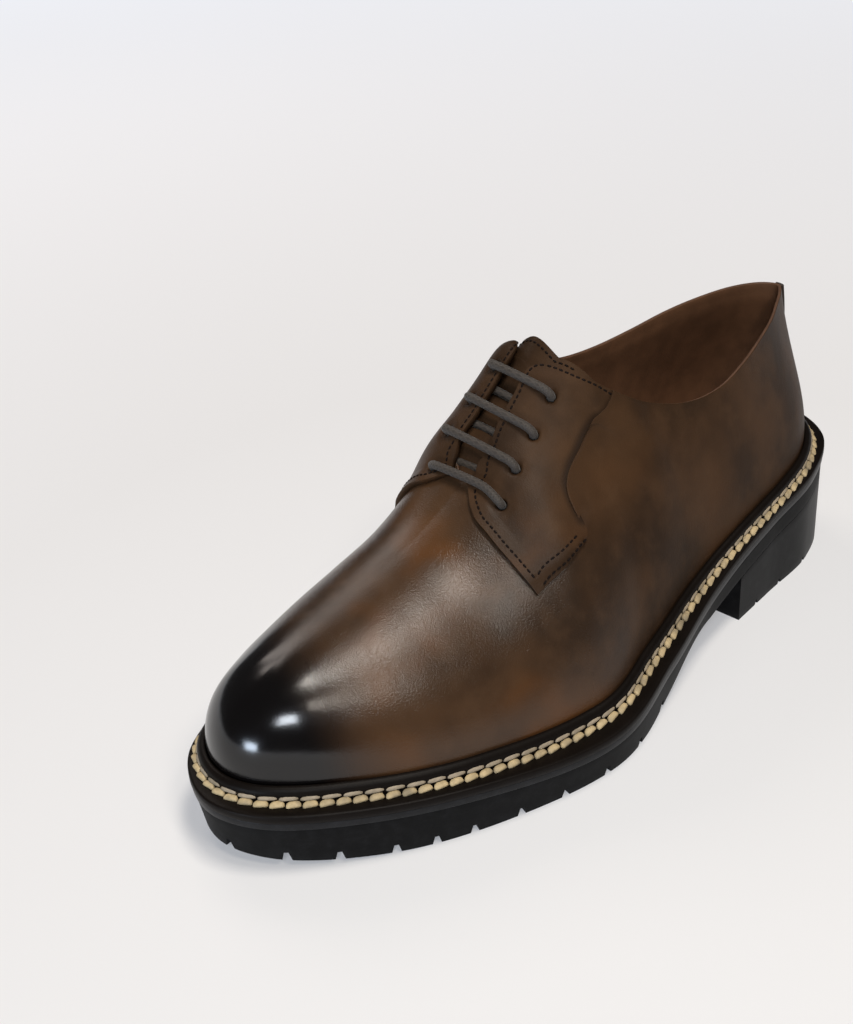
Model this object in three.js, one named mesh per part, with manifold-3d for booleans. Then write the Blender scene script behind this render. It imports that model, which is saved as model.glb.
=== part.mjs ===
// Left derby shoe: plain toe, open lacing with four bars, storm welt all round, lugged sole and stacked heel.
// Millimetres, +Z up, toe towards -Y, heel towards +Y, outer (little-toe) side towards +X, ground at z = 0. The tables count from the
// middle of the sole's length, near its centre line.
import * as THREE from 'three';
import { mergeVertices } from 'three/addons/utils/BufferGeometryUtils.js';
import Module from 'manifold-3d';

const wasm = await Module();
wasm.setup();

// Driving sizes
const SOLE_LENGTH = 306;
const BALL_WIDTH = 118;
const SEAT_HEIGHT = 45.4;
const INSTEP_RISE = 94;
const TOE_SPRING = 5.7;
const HEEL_LENGTH = 89;
const CLEAR = 0.3;

const WELT_THICKNESS = 3.2;
const WELT_WIDTH = 10;
const RIB_HEIGHT = 5.6;
const RIB_WIDTH = 2.9;
const RIB_TOP_WIDTH = 2.3;
const MIDSOLE_THICKNESS = 2.2;
const MIDSOLE_INSET = 0.4;
const OUTSOLE_BAND = 7.4;
const OUTSOLE_INSET = 0.9;
const FOREFOOT_TAPER = 2;
const HEEL_TAPER = 0.6;
const INSOLE_THICKNESS = 3;

const UPPER_WALL = 2.2;
const FACING_THICKNESS = 1.6;
const FACING_CLEAR = 0.45;
const STRIP_THICKNESS = 1.2;
const TONGUE_THICKNESS = 2.4;
const TONGUE_REACH = 10;
const TONGUE_DROP = 3;
const CORD_DIAMETER = 3.3;
const LACE_SLACK = 0.3;

const GROOVE_DEPTH = 3.2;
const GROOVE_WIDTH = 4.8;
const GROOVE_TAPER = 0.35;
const GROOVE_REACH = 15;
const CHANNEL_WIDTH = 3;
const HEEL_GROOVE_DEPTH = 1.8;
const HEEL_GROOVE_WIDTH = 3.2;
const HEEL_GROOVE_REACH = 12;
const GROOVE_OVERHANG = 6;

// Sole outline seen from above, from the heel's back round the outer side, in shares of ball width and
// sole length
const OUTLINE = table(['across', 'along'], [
  [0, 0.496], [0.22, 0.462], [0.32, 0.385], [0.352, 0.278], [0.4, 0.134], [0.487, 0.009], [0.557, -0.111],
  [0.473, -0.263], [0.311, -0.394], [0.114, -0.483], [-0.052, -0.503], [-0.244, -0.467], [-0.386, -0.359],
  [-0.442, -0.229], [-0.414, -0.114], [-0.329, 0.001], [-0.293, 0.131], [-0.307, 0.278], [-0.324, 0.386],
  [-0.233, 0.467],
]);

// Height of the welt's top edge: shares of sole length and seat height
const PROFILE = table(['along', 'height'], [
  [-0.5, 0.533], [-0.31, 0.454], [-0.147, 0.381], [0, 0.48], [0.114, 0.588], [0.229, 0.751], [0.359, 0.883],
  [0.5, 1],
]);

// Underside of the sole: where it stands, springs up at the toe and rises to the waist
const SPRING_START = -0.31;
const STAND_END = -0.05;
const ARCH_END = 0.13;
const TOE_END = -0.5;

// Width of the welt outside the upper, in shares of WELT_WIDTH, at each share of the way from heel to toe
const WELT_MARGIN = table(['share', 'outer', 'inner'], [
  [0, 0.86, 0.86], [0.05, 0.91, 0.82], [0.1, 0.91, 0.77], [0.15, 0.76, 0.72], [0.25, 0.62, 0.67],
  [0.35, 0.77, 0.67], [0.45, 0.92, 0.67], [0.55, 1.02, 0.77], [0.62, 1.16, 0.87], [0.7, 1.05, 0.87],
  [0.78, 0.94, 0.82], [0.9, 1.02, 0.67], [1, 0.97, 0.97],
]);

// The last, one row for each rib of the upper, from the back seam (0) to the toe's tip (1).
// top: where the rib ends, in shares of ball width, sole length and instep rise above the welt;
// foot and crown: length of each end's pull in shares of instep rise and ball width, and its lean in degrees;
// closed: 1 where both sides meet on the ridge, 0 along the collar and the throat
const RIB_COLUMNS = ['share', 'across', 'along', 'rise', 'foot', 'footLean', 'crown', 'crownDrop', 'closed'];
const OUTER_RIBS = table(RIB_COLUMNS, [
  [0, -0.003, 0.471, 0.608, 0.213, 8, 0.203, 80, 0],
  [0.05, 0.039, 0.453, 0.611, 0.213, 8, 0.203, 79, 0],
  [0.1, 0.089, 0.417, 0.624, 0.213, 9, 0.203, 78, 0],
  [0.15, 0.144, 0.374, 0.636, 0.213, 10, 0.203, 77, 0],
  [0.2, 0.191, 0.324, 0.645, 0.213, 10, 0.203, 76, 0],
  [0.25, 0.229, 0.268, 0.646, 0.213, 9, 0.203, 75, 0],
  [0.3, 0.246, 0.212, 0.647, 0.213, 8, 0.203, 72, 0],
  [0.35, 0.236, 0.157, 0.69, 0.234, 7, 0.203, 67, 0],
  [0.4, 0.21, 0.103, 0.777, 0.266, 6, 0.22, 59, 0],
  [0.45, 0.174, 0.056, 0.877, 0.298, 5, 0.237, 50, 0],
  [0.475, 0.106, 0.028, 0.951, 0.314, 5, 0.246, 38, 0],
  [0.505, 0.013, 0, 1, 0.33, 5, 0.263, 22, 0],
  [0.53, 0.017, -0.029, 0.936, 0.33, 6, 0.263, 20, 0],
  [0.56, 0.027, -0.062, 0.862, 0.319, 7, 0.254, 18, 0],
  [0.585, 0.039, -0.093, 0.791, 0.309, 8, 0.246, 16, 0],
  [0.61, -0.036, -0.118, 0.749, 0.298, 8, 0.28, 8, 1],
  [0.66, -0.039, -0.18, 0.627, 0.266, 8, 0.237, 4, 1],
  [0.71, -0.041, -0.235, 0.556, 0.245, 8, 0.22, 2, 1],
  [0.76, -0.042, -0.281, 0.503, 0.234, 9, 0.203, 0, 1],
  [0.81, -0.042, -0.32, 0.462, 0.223, 9, 0.186, 0, 1],
  [0.86, -0.042, -0.351, 0.43, 0.213, 10, 0.169, 0, 1],
  [0.91, -0.042, -0.376, 0.404, 0.213, 10, 0.157, 0, 1],
  [0.96, -0.042, -0.392, 0.384, 0.213, 10, 0.148, 0, 1],
  [1, -0.042, -0.4, 0.374, 0.213, 10, 0.144, 0, 1],
]);
const INNER_RIBS = table(RIB_COLUMNS, [
  [0, -0.003, 0.471, 0.608, 0.213, 8, 0.203, 80, 0],
  [0.05, -0.068, 0.459, 0.614, 0.213, 9, 0.203, 79, 0],
  [0.1, -0.123, 0.425, 0.625, 0.213, 9, 0.203, 78, 0],
  [0.15, -0.165, 0.376, 0.635, 0.213, 9, 0.203, 78, 0],
  [0.2, -0.195, 0.324, 0.643, 0.213, 8, 0.203, 77, 0],
  [0.25, -0.216, 0.265, 0.65, 0.213, 7, 0.203, 75, 0],
  [0.3, -0.233, 0.206, 0.673, 0.213, 5, 0.203, 72, 0],
  [0.35, -0.237, 0.15, 0.73, 0.234, 4, 0.203, 67, 0],
  [0.4, -0.225, 0.101, 0.808, 0.266, 3, 0.212, 58, 0],
  [0.45, -0.203, 0.059, 0.903, 0.298, 2, 0.22, 46, 0],
  [0.475, -0.165, 0.031, 0.979, 0.309, 2, 0.22, 30, 0],
  [0.505, -0.112, 0.007, 1.04, 0.319, 2, 0.212, 12, 0],
  [0.53, -0.112, -0.023, 0.975, 0.319, 3, 0.212, 8, 0],
  [0.56, -0.114, -0.059, 0.897, 0.309, 3, 0.212, 5, 0],
  [0.585, -0.115, -0.092, 0.823, 0.298, 4, 0.212, 2, 0],
  [0.61, -0.036, -0.118, 0.749, 0.287, 5, 0.263, 8, 1],
  [0.66, -0.039, -0.18, 0.627, 0.277, 6, 0.237, 4, 1],
  [0.71, -0.041, -0.235, 0.556, 0.266, 7, 0.22, 2, 1],
  [0.76, -0.042, -0.281, 0.503, 0.255, 8, 0.203, 0, 1],
  [0.81, -0.042, -0.32, 0.462, 0.234, 9, 0.186, 0, 1],
  [0.86, -0.042, -0.351, 0.43, 0.223, 10, 0.169, 0, 1],
  [0.91, -0.042, -0.376, 0.404, 0.218, 10, 0.157, 0, 1],
  [0.96, -0.042, -0.392, 0.384, 0.213, 10, 0.148, 0, 1],
  [1, -0.042, -0.4, 0.374, 0.213, 10, 0.144, 0, 1],
]);

// A facing, one row from the collar down to its foot: share and level of its front and rear edges on the last
const FACING = table(['frontShare', 'frontLevel', 'rearShare', 'rearLevel'], [
  [0.505, 1.04, 0.455, 1], [0.53, 1.045, 0.485, 0.87], [0.56, 1.045, 0.517, 0.785],
  [0.585, 1.03, 0.54, 0.765], [0.605, 0.975, 0.556, 0.74], [0.62, 0.9, 0.56, 0.7],
  [0.625, 0.8, 0.56, 0.65], [0.623, 0.66, 0.56, 0.6], [0.62, 0.53, 0.56, 0.56],
]);

// The tongue, one row from its root under the vamp to the collar: share of the rib that it follows, level of
// its sides, and how much deeper than the wall's inside it lies
const TONGUE = table(['share', 'sideLevel', 'sink'], [
  [0.65, 0.9, 0], [0.625, 0.87, 0], [0.6, 0.84, 0], [0.575, 0.8, 0], [0.55, 0.79, 0], [0.525, 0.8, 0.3],
  [0.505, 0.83, 1],
]);

// Lace bars, from the lowest: share and level of the hole on each facing
const LACE_HOLES = table(['share', 'outerLevel', 'innerLevel'], [
  [0.602, 0.83, 0.87], [0.577, 0.9, 0.94], [0.55, 0.91, 0.96], [0.519, 0.92, 0.98],
]);

// Sole and insole plates end this share short of the heel's back and of the toe's tip
const PLATE_TIP = 0.012;

// Levels on the last at which the tongue's arms meet the throat and over which the laces arch
const TONGUE_CROWN = 0.985;
const LACE_ARCH = 1.02;

// Half of the span over which a surface's direction is measured, and how near counts as equal
const NORMAL_STEP = 0.004;
const SEARCH_END = 1e-5;
const MERGE_DISTANCE = 1e-4;
const ROUNDING = 1e-9;

// Numbers of steps in the faceted surfaces
const RIB_STEPS = 2;
const LEVEL_STEPS = 13;
const EDGE_STEPS = 44;
const CORD_SIDES = 8;
const CORD_STEPS = 12;

function table(columns, rows) {
  return rows.map((row) => Object.fromEntries(columns.map((name, i) => [name, row[i]])));
}

// Value of a table's column at x, by a smooth curve that never overshoots its rows
function curveAt(rows, key, column, x) {
  const xs = rows.map((row) => row[key]);
  const ys = rows.map((row) => row[column]);
  const last = xs.length - 1;
  const at = THREE.MathUtils.clamp(x, xs[0], xs[last]);
  const slopes = ys.slice(1).map((y, i) => (y - ys[i]) / (xs[i + 1] - xs[i]));
  const tangent = (i) => {
    if (i === 0) return slopes[0];
    if (i === last) return slopes[last - 1];
    const before = slopes[i - 1];
    const after = slopes[i];
    return before * after <= 0 ? 0 : (2 * before * after) / (before + after);
  };
  const i = Math.min(Math.max(xs.findIndex((value) => value > at) - 1, 0), last - 1);
  const k = at >= xs[last] ? last - 1 : i;
  const width = xs[k + 1] - xs[k];
  const t = (at - xs[k]) / width;
  return hermite(ys[k], tangent(k) * width, ys[k + 1], tangent(k + 1) * width, t);
}

function hermite(a, ma, b, mb, t) {
  const t2 = t * t;
  const t3 = t2 * t;
  return (2 * t3 - 3 * t2 + 1) * a + (t3 - 2 * t2 + t) * ma + (3 * t2 - 2 * t3) * b + (t3 - t2) * mb;
}

// The sole's outline as one closed curve, cut at the toe's tip into an outer and an inner side
const outlineCorners = OUTLINE.map((row) => (
  new THREE.Vector3(row.across * BALL_WIDTH, row.along * SOLE_LENGTH, 0)));
const outlineCurve = new THREE.CatmullRomCurve3(outlineCorners, true, 'centripetal');
const OUTLINE_SAMPLES = 40;
const outlinePoints = outlineCurve.getPoints(OUTLINE.length * OUTLINE_SAMPLES);
const toeIndex = outlinePoints.reduce((best, p, i) => (p.y < outlinePoints[best].y ? i : best), 0);

function measured(points) {
  const lengths = [0];
  for (let i = 1; i < points.length; i += 1) {
    lengths.push(lengths[i - 1] + points[i].distanceTo(points[i - 1]));
  }
  return { points, lengths };
}

const SIDES = {
  outer: measured(outlinePoints.slice(0, toeIndex + 1)),
  inner: measured(outlinePoints.slice(toeIndex).reverse()),
};

function sidePoint(side, share) {
  const { points, lengths } = SIDES[side];
  const wanted = THREE.MathUtils.clamp(share, 0, 1) * lengths[lengths.length - 1];
  const i = Math.max(lengths.findIndex((length) => length >= wanted), 1);
  const t = (wanted - lengths[i - 1]) / (lengths[i] - lengths[i - 1]);
  return points[i - 1].clone().lerp(points[i], t);
}

// Outward direction of the outline at a share of a side
function sideNormal(side, share) {
  const mirror = side === 'outer' ? 1 : -1;
  const ends = [share - NORMAL_STEP, share + NORMAL_STEP].map((s) => {
    if (s < 0) return sidePoint(side === 'outer' ? 'inner' : 'outer', -s);
    if (s > 1) return sidePoint(side === 'outer' ? 'inner' : 'outer', 2 - s);
    return sidePoint(side, s);
  });
  const along = ends[1].sub(ends[0]).normalize();
  return new THREE.Vector3(-along.y, along.x, 0).multiplyScalar(mirror);
}

// The share of a side at which the outline passes y
function shareAt(side, y) {
  let low = 0;
  let high = 1;
  while (high - low > SEARCH_END) {
    const middle = (low + high) / 2;
    if (sidePoint(side, middle).y > y) low = middle;
    else high = middle;
  }
  return low;
}

function weltMargin(side, share) {
  return curveAt(WELT_MARGIN, 'share', side, share) * WELT_WIDTH;
}

function weltTop(y) {
  return curveAt(PROFILE, 'along', 'height', y / SOLE_LENGTH) * SEAT_HEIGHT;
}

function insetPoint(side, share, inset, z) {
  const p = sidePoint(side, share).addScaledVector(sideNormal(side, share), -inset);
  return new THREE.Vector3(p.x, p.y, z === undefined ? weltTop(p.y) : z);
}

// The last's surface: u runs 0 to 1 down the outer side and 1 to 2 back up the inner side, v from foot to top
function ribControls(side, rows, index) {
  const row = rows[index];
  const foot = insetPoint(side, row.share, weltMargin(side, row.share));
  foot.z -= WELT_THICKNESS - CLEAR;
  const normal = sideNormal(side, row.share);
  const topAt = (r) => new THREE.Vector3(
    r.across * BALL_WIDTH, r.along * SOLE_LENGTH, weltTop(r.along * SOLE_LENGTH) + r.rise * INSTEP_RISE);
  const top = topAt(row);
  const lean = THREE.MathUtils.degToRad(row.footLean);
  const drop = THREE.MathUtils.degToRad(row.crownDrop);
  const up = new THREE.Vector3(0, 0, 1);
  const footPull = normal.clone().multiplyScalar(Math.sin(lean)).addScaledVector(up, Math.cos(lean));
  const crownPull = new THREE.Vector3();
  if (row.closed) {
    const before = topAt(rows[Math.max(index - 1, 0)]);
    const after = topAt(rows[Math.min(index + 1, rows.length - 1)]);
    const ridge = after.sub(before).normalize();
    crownPull.set(normal.x, 0, -Math.tan(drop) * normal.x).addScaledVector(ridge, -normal.y).normalize();
  } else {
    crownPull.copy(normal).multiplyScalar(Math.cos(drop)).addScaledVector(up, -Math.sin(drop));
  }
  return [
    foot,
    foot.clone().addScaledVector(footPull, row.foot * INSTEP_RISE + WELT_THICKNESS),
    top.clone().addScaledVector(crownPull, row.crown * BALL_WIDTH),
    top,
  ];
}

const ribs = OUTER_RIBS.map((row, i) => ({ u: row.share, controls: ribControls('outer', OUTER_RIBS, i) }));
for (let i = INNER_RIBS.length - 2; i > 0; i -= 1) {
  ribs.push({ u: 2 - INNER_RIBS[i].share, controls: ribControls('inner', INNER_RIBS, i) });
}
const LOOP = 2;
const ribAt = (i) => ribs[(i + ribs.length) % ribs.length];
const ribGap = (i) => (ribAt(i + 1).u - ribAt(i).u + LOOP) % LOOP;
const ribTangents = ribs.map((rib, i) => rib.controls.map((p, c) => {
  const before = p.clone().sub(ribAt(i - 1).controls[c]).divideScalar(ribGap(i - 1));
  const after = ribAt(i + 1).controls[c].clone().sub(p).divideScalar(ribGap(i));
  const sum = before.multiplyScalar(ribGap(i)).addScaledVector(after, ribGap(i - 1));
  return sum.divideScalar(ribGap(i) + ribGap(i - 1));
}));

function surface(u, v) {
  const at = ((u % LOOP) + LOOP) % LOOP;
  let i = ribs.length - 1;
  while (ribs[i].u > at + ROUNDING) i -= 1;
  const next = (i + 1) % ribs.length;
  const width = ribGap(i);
  const t = (at - ribs[i].u) / width;
  const weights = [(1 - v) ** 3, 3 * (1 - v) ** 2 * v, 3 * (1 - v) * v * v, v ** 3];
  const point = new THREE.Vector3();
  weights.forEach((weight, c) => {
    const a = ribs[i].controls[c];
    const b = ribs[next].controls[c];
    const ma = ribTangents[i][c];
    const mb = ribTangents[next][c];
    point.x += weight * hermite(a.x, ma.x * width, b.x, mb.x * width, t);
    point.y += weight * hermite(a.y, ma.y * width, b.y, mb.y * width, t);
    point.z += weight * hermite(a.z, ma.z * width, b.z, mb.z * width, t);
  });
  return point;
}

function surfaceNormal(u, v) {
  const du = surface(u + NORMAL_STEP, v).sub(surface(u - NORMAL_STEP, v));
  const dv = surface(u, v + NORMAL_STEP).sub(surface(u, v - NORMAL_STEP));
  return dv.cross(du).normalize();
}

function offsetSurface(u, v, distance) {
  return surface(u, v).addScaledVector(surfaceNormal(u, v), distance);
}

// Closed meshes from points and triangles, turned so that their faces point out
function solidGeometry(points, faces) {
  let volume = 0;
  faces.forEach(([a, b, c]) => {
    volume += points[a].dot(new THREE.Vector3().crossVectors(points[b], points[c]));
  });
  const turned = volume < 0 ? faces.map(([a, b, c]) => [a, c, b]) : faces;
  const values = points.flatMap((p) => [p.x, p.y, p.z]);
  const geometry = new THREE.BufferGeometry();
  geometry.setAttribute('position', new THREE.Float32BufferAttribute(values, 3));
  geometry.setIndex(turned.flat());
  return geometry;
}

// A plate of rungs: each rung is a row of top points and a row of bottom points; all its sides are closed
function plateGeometry(rungs) {
  const width = rungs[0].top.length;
  const points = rungs.flatMap((rung) => [...rung.top, ...rung.bottom]);
  const top = (i, j) => i * 2 * width + j;
  const bottom = (i, j) => top(i, j) + width;
  const faces = [];
  const quad = (a, b, c, d) => faces.push([a, b, c], [a, c, d]);
  for (let i = 0; i < rungs.length - 1; i += 1) {
    for (let j = 0; j < width - 1; j += 1) {
      quad(top(i, j), top(i, j + 1), top(i + 1, j + 1), top(i + 1, j));
      quad(bottom(i, j), bottom(i + 1, j), bottom(i + 1, j + 1), bottom(i, j + 1));
    }
    quad(top(i, 0), top(i + 1, 0), bottom(i + 1, 0), bottom(i, 0));
    quad(top(i, width - 1), bottom(i, width - 1), bottom(i + 1, width - 1), top(i + 1, width - 1));
  }
  const last = rungs.length - 1;
  for (let j = 0; j < width - 1; j += 1) {
    quad(top(0, j), bottom(0, j), bottom(0, j + 1), top(0, j + 1));
    quad(top(last, j), top(last, j + 1), bottom(last, j + 1), bottom(last, j));
  }
  return solidGeometry(points, faces);
}

// Rungs across the sole from the heel's back (0) to a share of each side (1 is the toe), between two heights
function soleRungs(inset, bottomInset, topZ, bottomZ, end = { outer: 1, inner: 1 }) {
  const rungs = [];
  for (let i = 0; i <= EDGE_STEPS; i += 1) {
    const t = THREE.MathUtils.lerp(PLATE_TIP, end.outer === 1 ? 1 - PLATE_TIP : 1, i / EDGE_STEPS);
    const pair = (amount, height) => ['outer', 'inner'].map((side) => {
      const p = insetPoint(side, t * end[side], amount, 0);
      p.z = height(p.y);
      return p;
    });
    rungs.push({ top: pair(inset, topZ), bottom: pair(bottomInset, bottomZ) });
  }
  return rungs;
}

function sweep(from, to, t) {
  const s = THREE.MathUtils.smoothstep(t, 0, 1);
  return THREE.MathUtils.lerp(from, to, s);
}

const weltBottom = (y) => weltTop(y) - WELT_THICKNESS;
const midsoleTop = (y) => weltBottom(y) - CLEAR;
const midsoleBottom = (y) => midsoleTop(y) - MIDSOLE_THICKNESS;
const outsoleTop = (y) => midsoleBottom(y) - CLEAR;
const bandBottom = (y) => outsoleTop(y) - OUTSOLE_BAND;

function outsoleBottom(y) {
  const along = y / SOLE_LENGTH;
  const spring = Math.min(Math.max((SPRING_START - along) / (SPRING_START - TOE_END), 0), 1);
  const arch = (along - STAND_END) / (ARCH_END - STAND_END);
  if (arch <= 0) return TOE_SPRING * spring * spring;
  return arch >= 1 ? bandBottom(y) : sweep(0, bandBottom(ARCH_END * SOLE_LENGTH), arch);
}

const heelTop = (y) => bandBottom(y) - CLEAR;
const heelBreast = OUTLINE[0].along * SOLE_LENGTH - HEEL_LENGTH;

// Joins and cuts
function toManifold(geometry) {
  const bare = geometry.clone();
  bare.deleteAttribute('normal');
  bare.deleteAttribute('uv');
  const merged = mergeVertices(bare, MERGE_DISTANCE);
  return new wasm.Manifold(new wasm.Mesh({
    numProp: 3,
    vertProperties: new Float32Array(merged.attributes.position.array),
    triVerts: new Uint32Array(merged.index.array),
  }));
}

function fromManifold(solid) {
  const mesh = solid.getMesh();
  const geometry = new THREE.BufferGeometry();
  geometry.setAttribute('position', new THREE.BufferAttribute(new Float32Array(mesh.vertProperties), 3));
  geometry.setIndex(new THREE.BufferAttribute(new Uint32Array(mesh.triVerts), 1));
  return geometry;
}

function cutAll(geometry, cutters) {
  const solid = cutters.reduce((left, cutter) => left.subtract(toManifold(cutter)), toManifold(geometry));
  return fromManifold(solid);
}

// A block for one tread groove, from outside the edge of the sole inwards, narrower at its top
function edgeGroove(side, share, reach, width, depth, floor) {
  const edge = sidePoint(side, share);
  const inward = sideNormal(side, share).negate();
  const block = new THREE.BoxGeometry(reach + GROOVE_OVERHANG, width, 2 * depth);
  const corners = block.attributes.position;
  for (let i = 0; i < corners.count; i += 1) {
    if (corners.getZ(i) > 0) corners.setY(i, corners.getY(i) * GROOVE_TAPER);
  }
  block.rotateZ(Math.atan2(inward.y, inward.x));
  const middle = edge.addScaledVector(inward, (reach - GROOVE_OVERHANG) / 2);
  block.translate(middle.x, middle.y, floor);
  return block;
}

function crossGroove(y, width, depth, halfSpan, centre) {
  const block = new THREE.BoxGeometry(2 * halfSpan, width, 2 * depth);
  block.translate(centre, y, 0);
  return block;
}

// A ring between two insets of the forefoot's edge, cut up from the ground
function channelGeometry(inset, width, depth, from, to) {
  const rungsOf = (amount) => {
    const points = [];
    for (let i = 0; i <= EDGE_STEPS; i += 1) {
      points.push(insetPoint('outer', THREE.MathUtils.lerp(from, 1, i / EDGE_STEPS), amount, 0));
    }
    for (let i = EDGE_STEPS - 1; i >= 0; i -= 1) {
      points.push(insetPoint('inner', THREE.MathUtils.lerp(to, 1, i / EDGE_STEPS), amount, 0));
    }
    return points;
  };
  const outside = rungsOf(inset);
  const inside = rungsOf(inset + width);
  const raised = (p, z) => new THREE.Vector3(p.x, p.y, z);
  const rungs = outside.map((p, i) => ({
    top: [raised(p, depth + outsoleBottom(p.y)), raised(inside[i], depth + outsoleBottom(inside[i].y))],
    bottom: [raised(p, -depth), raised(inside[i], -depth)],
  }));
  return plateGeometry(rungs);
}

// Places of the tread's grooves along each side of the forefoot, as shares of the side
const EDGE_GROOVES = {
  outer: [0.494, 0.549, 0.605, 0.657, 0.705, 0.753, 0.79, 0.828, 0.879, 0.927, 0.986],
  inner: [0.5, 0.552, 0.604, 0.656, 0.706, 0.755, 0.804, 0.853, 0.902, 0.952],
};
const CHANNEL_FROM = 0.53;
const CROSS_GROOVES = 4;
const FOREFOOT_MIDDLE = -0.017;

function outsoleGeometry() {
  const foot = OUTSOLE_INSET + FOREFOOT_TAPER;
  const body = plateGeometry(soleRungs(OUTSOLE_INSET, foot, outsoleTop, outsoleBottom));
  const grooveEnd = GROOVE_REACH + CHANNEL_WIDTH / 2;
  const halfSpan = BALL_WIDTH / 2 - GROOVE_REACH - CHANNEL_WIDTH - GROOVE_WIDTH;
  const cutters = [];
  ['outer', 'inner'].forEach((side) => {
    EDGE_GROOVES[side].forEach((share) => {
      const floor = outsoleBottom(sidePoint(side, share).y);
      cutters.push(edgeGroove(side, share, grooveEnd, GROOVE_WIDTH, GROOVE_DEPTH, floor));
    });
  });
  cutters.push(channelGeometry(GROOVE_REACH, CHANNEL_WIDTH, GROOVE_DEPTH, CHANNEL_FROM, CHANNEL_FROM));
  for (let i = 0; i < CROSS_GROOVES; i += 1) {
    const along = THREE.MathUtils.lerp(SPRING_START, STAND_END, (i + 0.5) / CROSS_GROOVES);
    const middle = FOREFOOT_MIDDLE * BALL_WIDTH;
    cutters.push(crossGroove(along * SOLE_LENGTH, GROOVE_WIDTH, GROOVE_DEPTH, halfSpan, middle));
  }
  return cutAll(body, cutters);
}

// Places of the heel's grooves along each side, as shares of the side
const HEEL_GROOVES = [0.032, 0.097, 0.164, 0.22, 0.271];

function heelGeometry() {
  const breast = { outer: shareAt('outer', heelBreast), inner: shareAt('inner', heelBreast) };
  const body = plateGeometry(
    soleRungs(OUTSOLE_INSET, OUTSOLE_INSET + HEEL_TAPER, heelTop, () => 0, breast));
  const cutters = [];
  Object.keys(breast).forEach((side) => {
    HEEL_GROOVES.forEach((share) => {
      cutters.push(edgeGroove(side, share, HEEL_GROOVE_REACH, HEEL_GROOVE_WIDTH, HEEL_GROOVE_DEPTH, 0));
    });
  });
  return cutAll(body, cutters);
}

function midsoleGeometry() {
  return plateGeometry(soleRungs(MIDSOLE_INSET, MIDSOLE_INSET, midsoleTop, midsoleBottom));
}

// Shares of the ribs on one side, refined between the rows of the table
const sideShares = OUTER_RIBS.slice(1).flatMap((row, i) => {
  const from = OUTER_RIBS[i].share;
  return Array.from({ length: RIB_STEPS }, (_, k) => from + (row.share - from) * (k / RIB_STEPS));
}).concat(1);
const closedFrom = OUTER_RIBS.find((row) => row.closed).share;
const loopShares = [...sideShares, ...sideShares.slice(1, -1).reverse().map((share) => LOOP - share)];
const onOneSide = (u) => (u > 1 ? LOOP - u : u);

// The insole lies inside the wall's foot
function insoleGeometry() {
  const rungs = [];
  for (let i = 0; i <= EDGE_STEPS; i += 1) {
    const t = THREE.MathUtils.lerp(PLATE_TIP, 1 - PLATE_TIP, i / EDGE_STEPS);
    const pair = (raise) => ['outer', 'inner'].map((side) => {
      const inset = weltMargin(side, t) + UPPER_WALL + 2 * CLEAR;
      const p = insetPoint(side, t, inset, 0);
      p.z = weltBottom(p.y) + CLEAR + raise;
      return p;
    });
    rungs.push({ top: pair(INSOLE_THICKNESS), bottom: pair(0) });
  }
  return plateGeometry(rungs);
}

// The upper: one wall, open underneath, at the collar and along the throat
function upperGeometry() {
  const points = [];
  const outer = [];
  const inner = [];
  const count = loopShares.length;
  const mirrorOf = (k) => (k === 0 ? 0 : count - k);
  loopShares.forEach((u, k) => {
    const isClosed = onOneSide(u) >= closedFrom - ROUNDING;
    const isTwin = isClosed && u > 1;
    outer.push([]);
    inner.push([]);
    for (let j = 0; j <= LEVEL_STEPS; j += 1) {
      const v = j / LEVEL_STEPS;
      const atTop = j === LEVEL_STEPS;
      if (atTop && isTwin) {
        outer[k].push(outer[mirrorOf(k)][j]);
        inner[k].push(inner[mirrorOf(k)][j]);
      } else {
        let point = surface(u, v);
        let normal = surfaceNormal(u, v);
        if (atTop && isClosed) {
          point = point.add(surface(LOOP - u, v)).multiplyScalar(0.5);
          normal = normal.add(surfaceNormal(LOOP - u, v)).normalize();
        }
        if (j === 0) normal = normal.setZ(0).normalize();
        outer[k].push(points.push(point) - 1);
        inner[k].push(points.push(point.clone().addScaledVector(normal, -UPPER_WALL)) - 1);
      }
    }
  });
  const faces = [];
  const quad = (a, b, c, d) => faces.push([a, b, c], [a, c, d]);
  for (let k = 0; k < count; k += 1) {
    const n = (k + 1) % count;
    for (let j = 0; j < LEVEL_STEPS; j += 1) {
      quad(outer[k][j], outer[k][j + 1], outer[n][j + 1], outer[n][j]);
      quad(inner[k][j], inner[n][j], inner[n][j + 1], inner[k][j + 1]);
    }
    quad(outer[k][0], outer[n][0], inner[n][0], inner[k][0]);
    const bothClosed = [k, n].every((i) => onOneSide(loopShares[i]) >= closedFrom - ROUNDING);
    const t = LEVEL_STEPS;
    if (!bothClosed) quad(outer[k][t], inner[k][t], inner[n][t], outer[n][t]);
  }
  return solidGeometry(points, faces);
}

// Level on the last's lower half at which a rib reaches a height above the welt
function levelAtHeight(u, height) {
  let low = 0;
  let high = 0.5;
  while (high - low > SEARCH_END) {
    const middle = (low + high) / 2;
    const p = surface(u, middle);
    if (p.z < weltTop(p.y) + height) low = middle;
    else high = middle;
  }
  return low;
}

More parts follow.
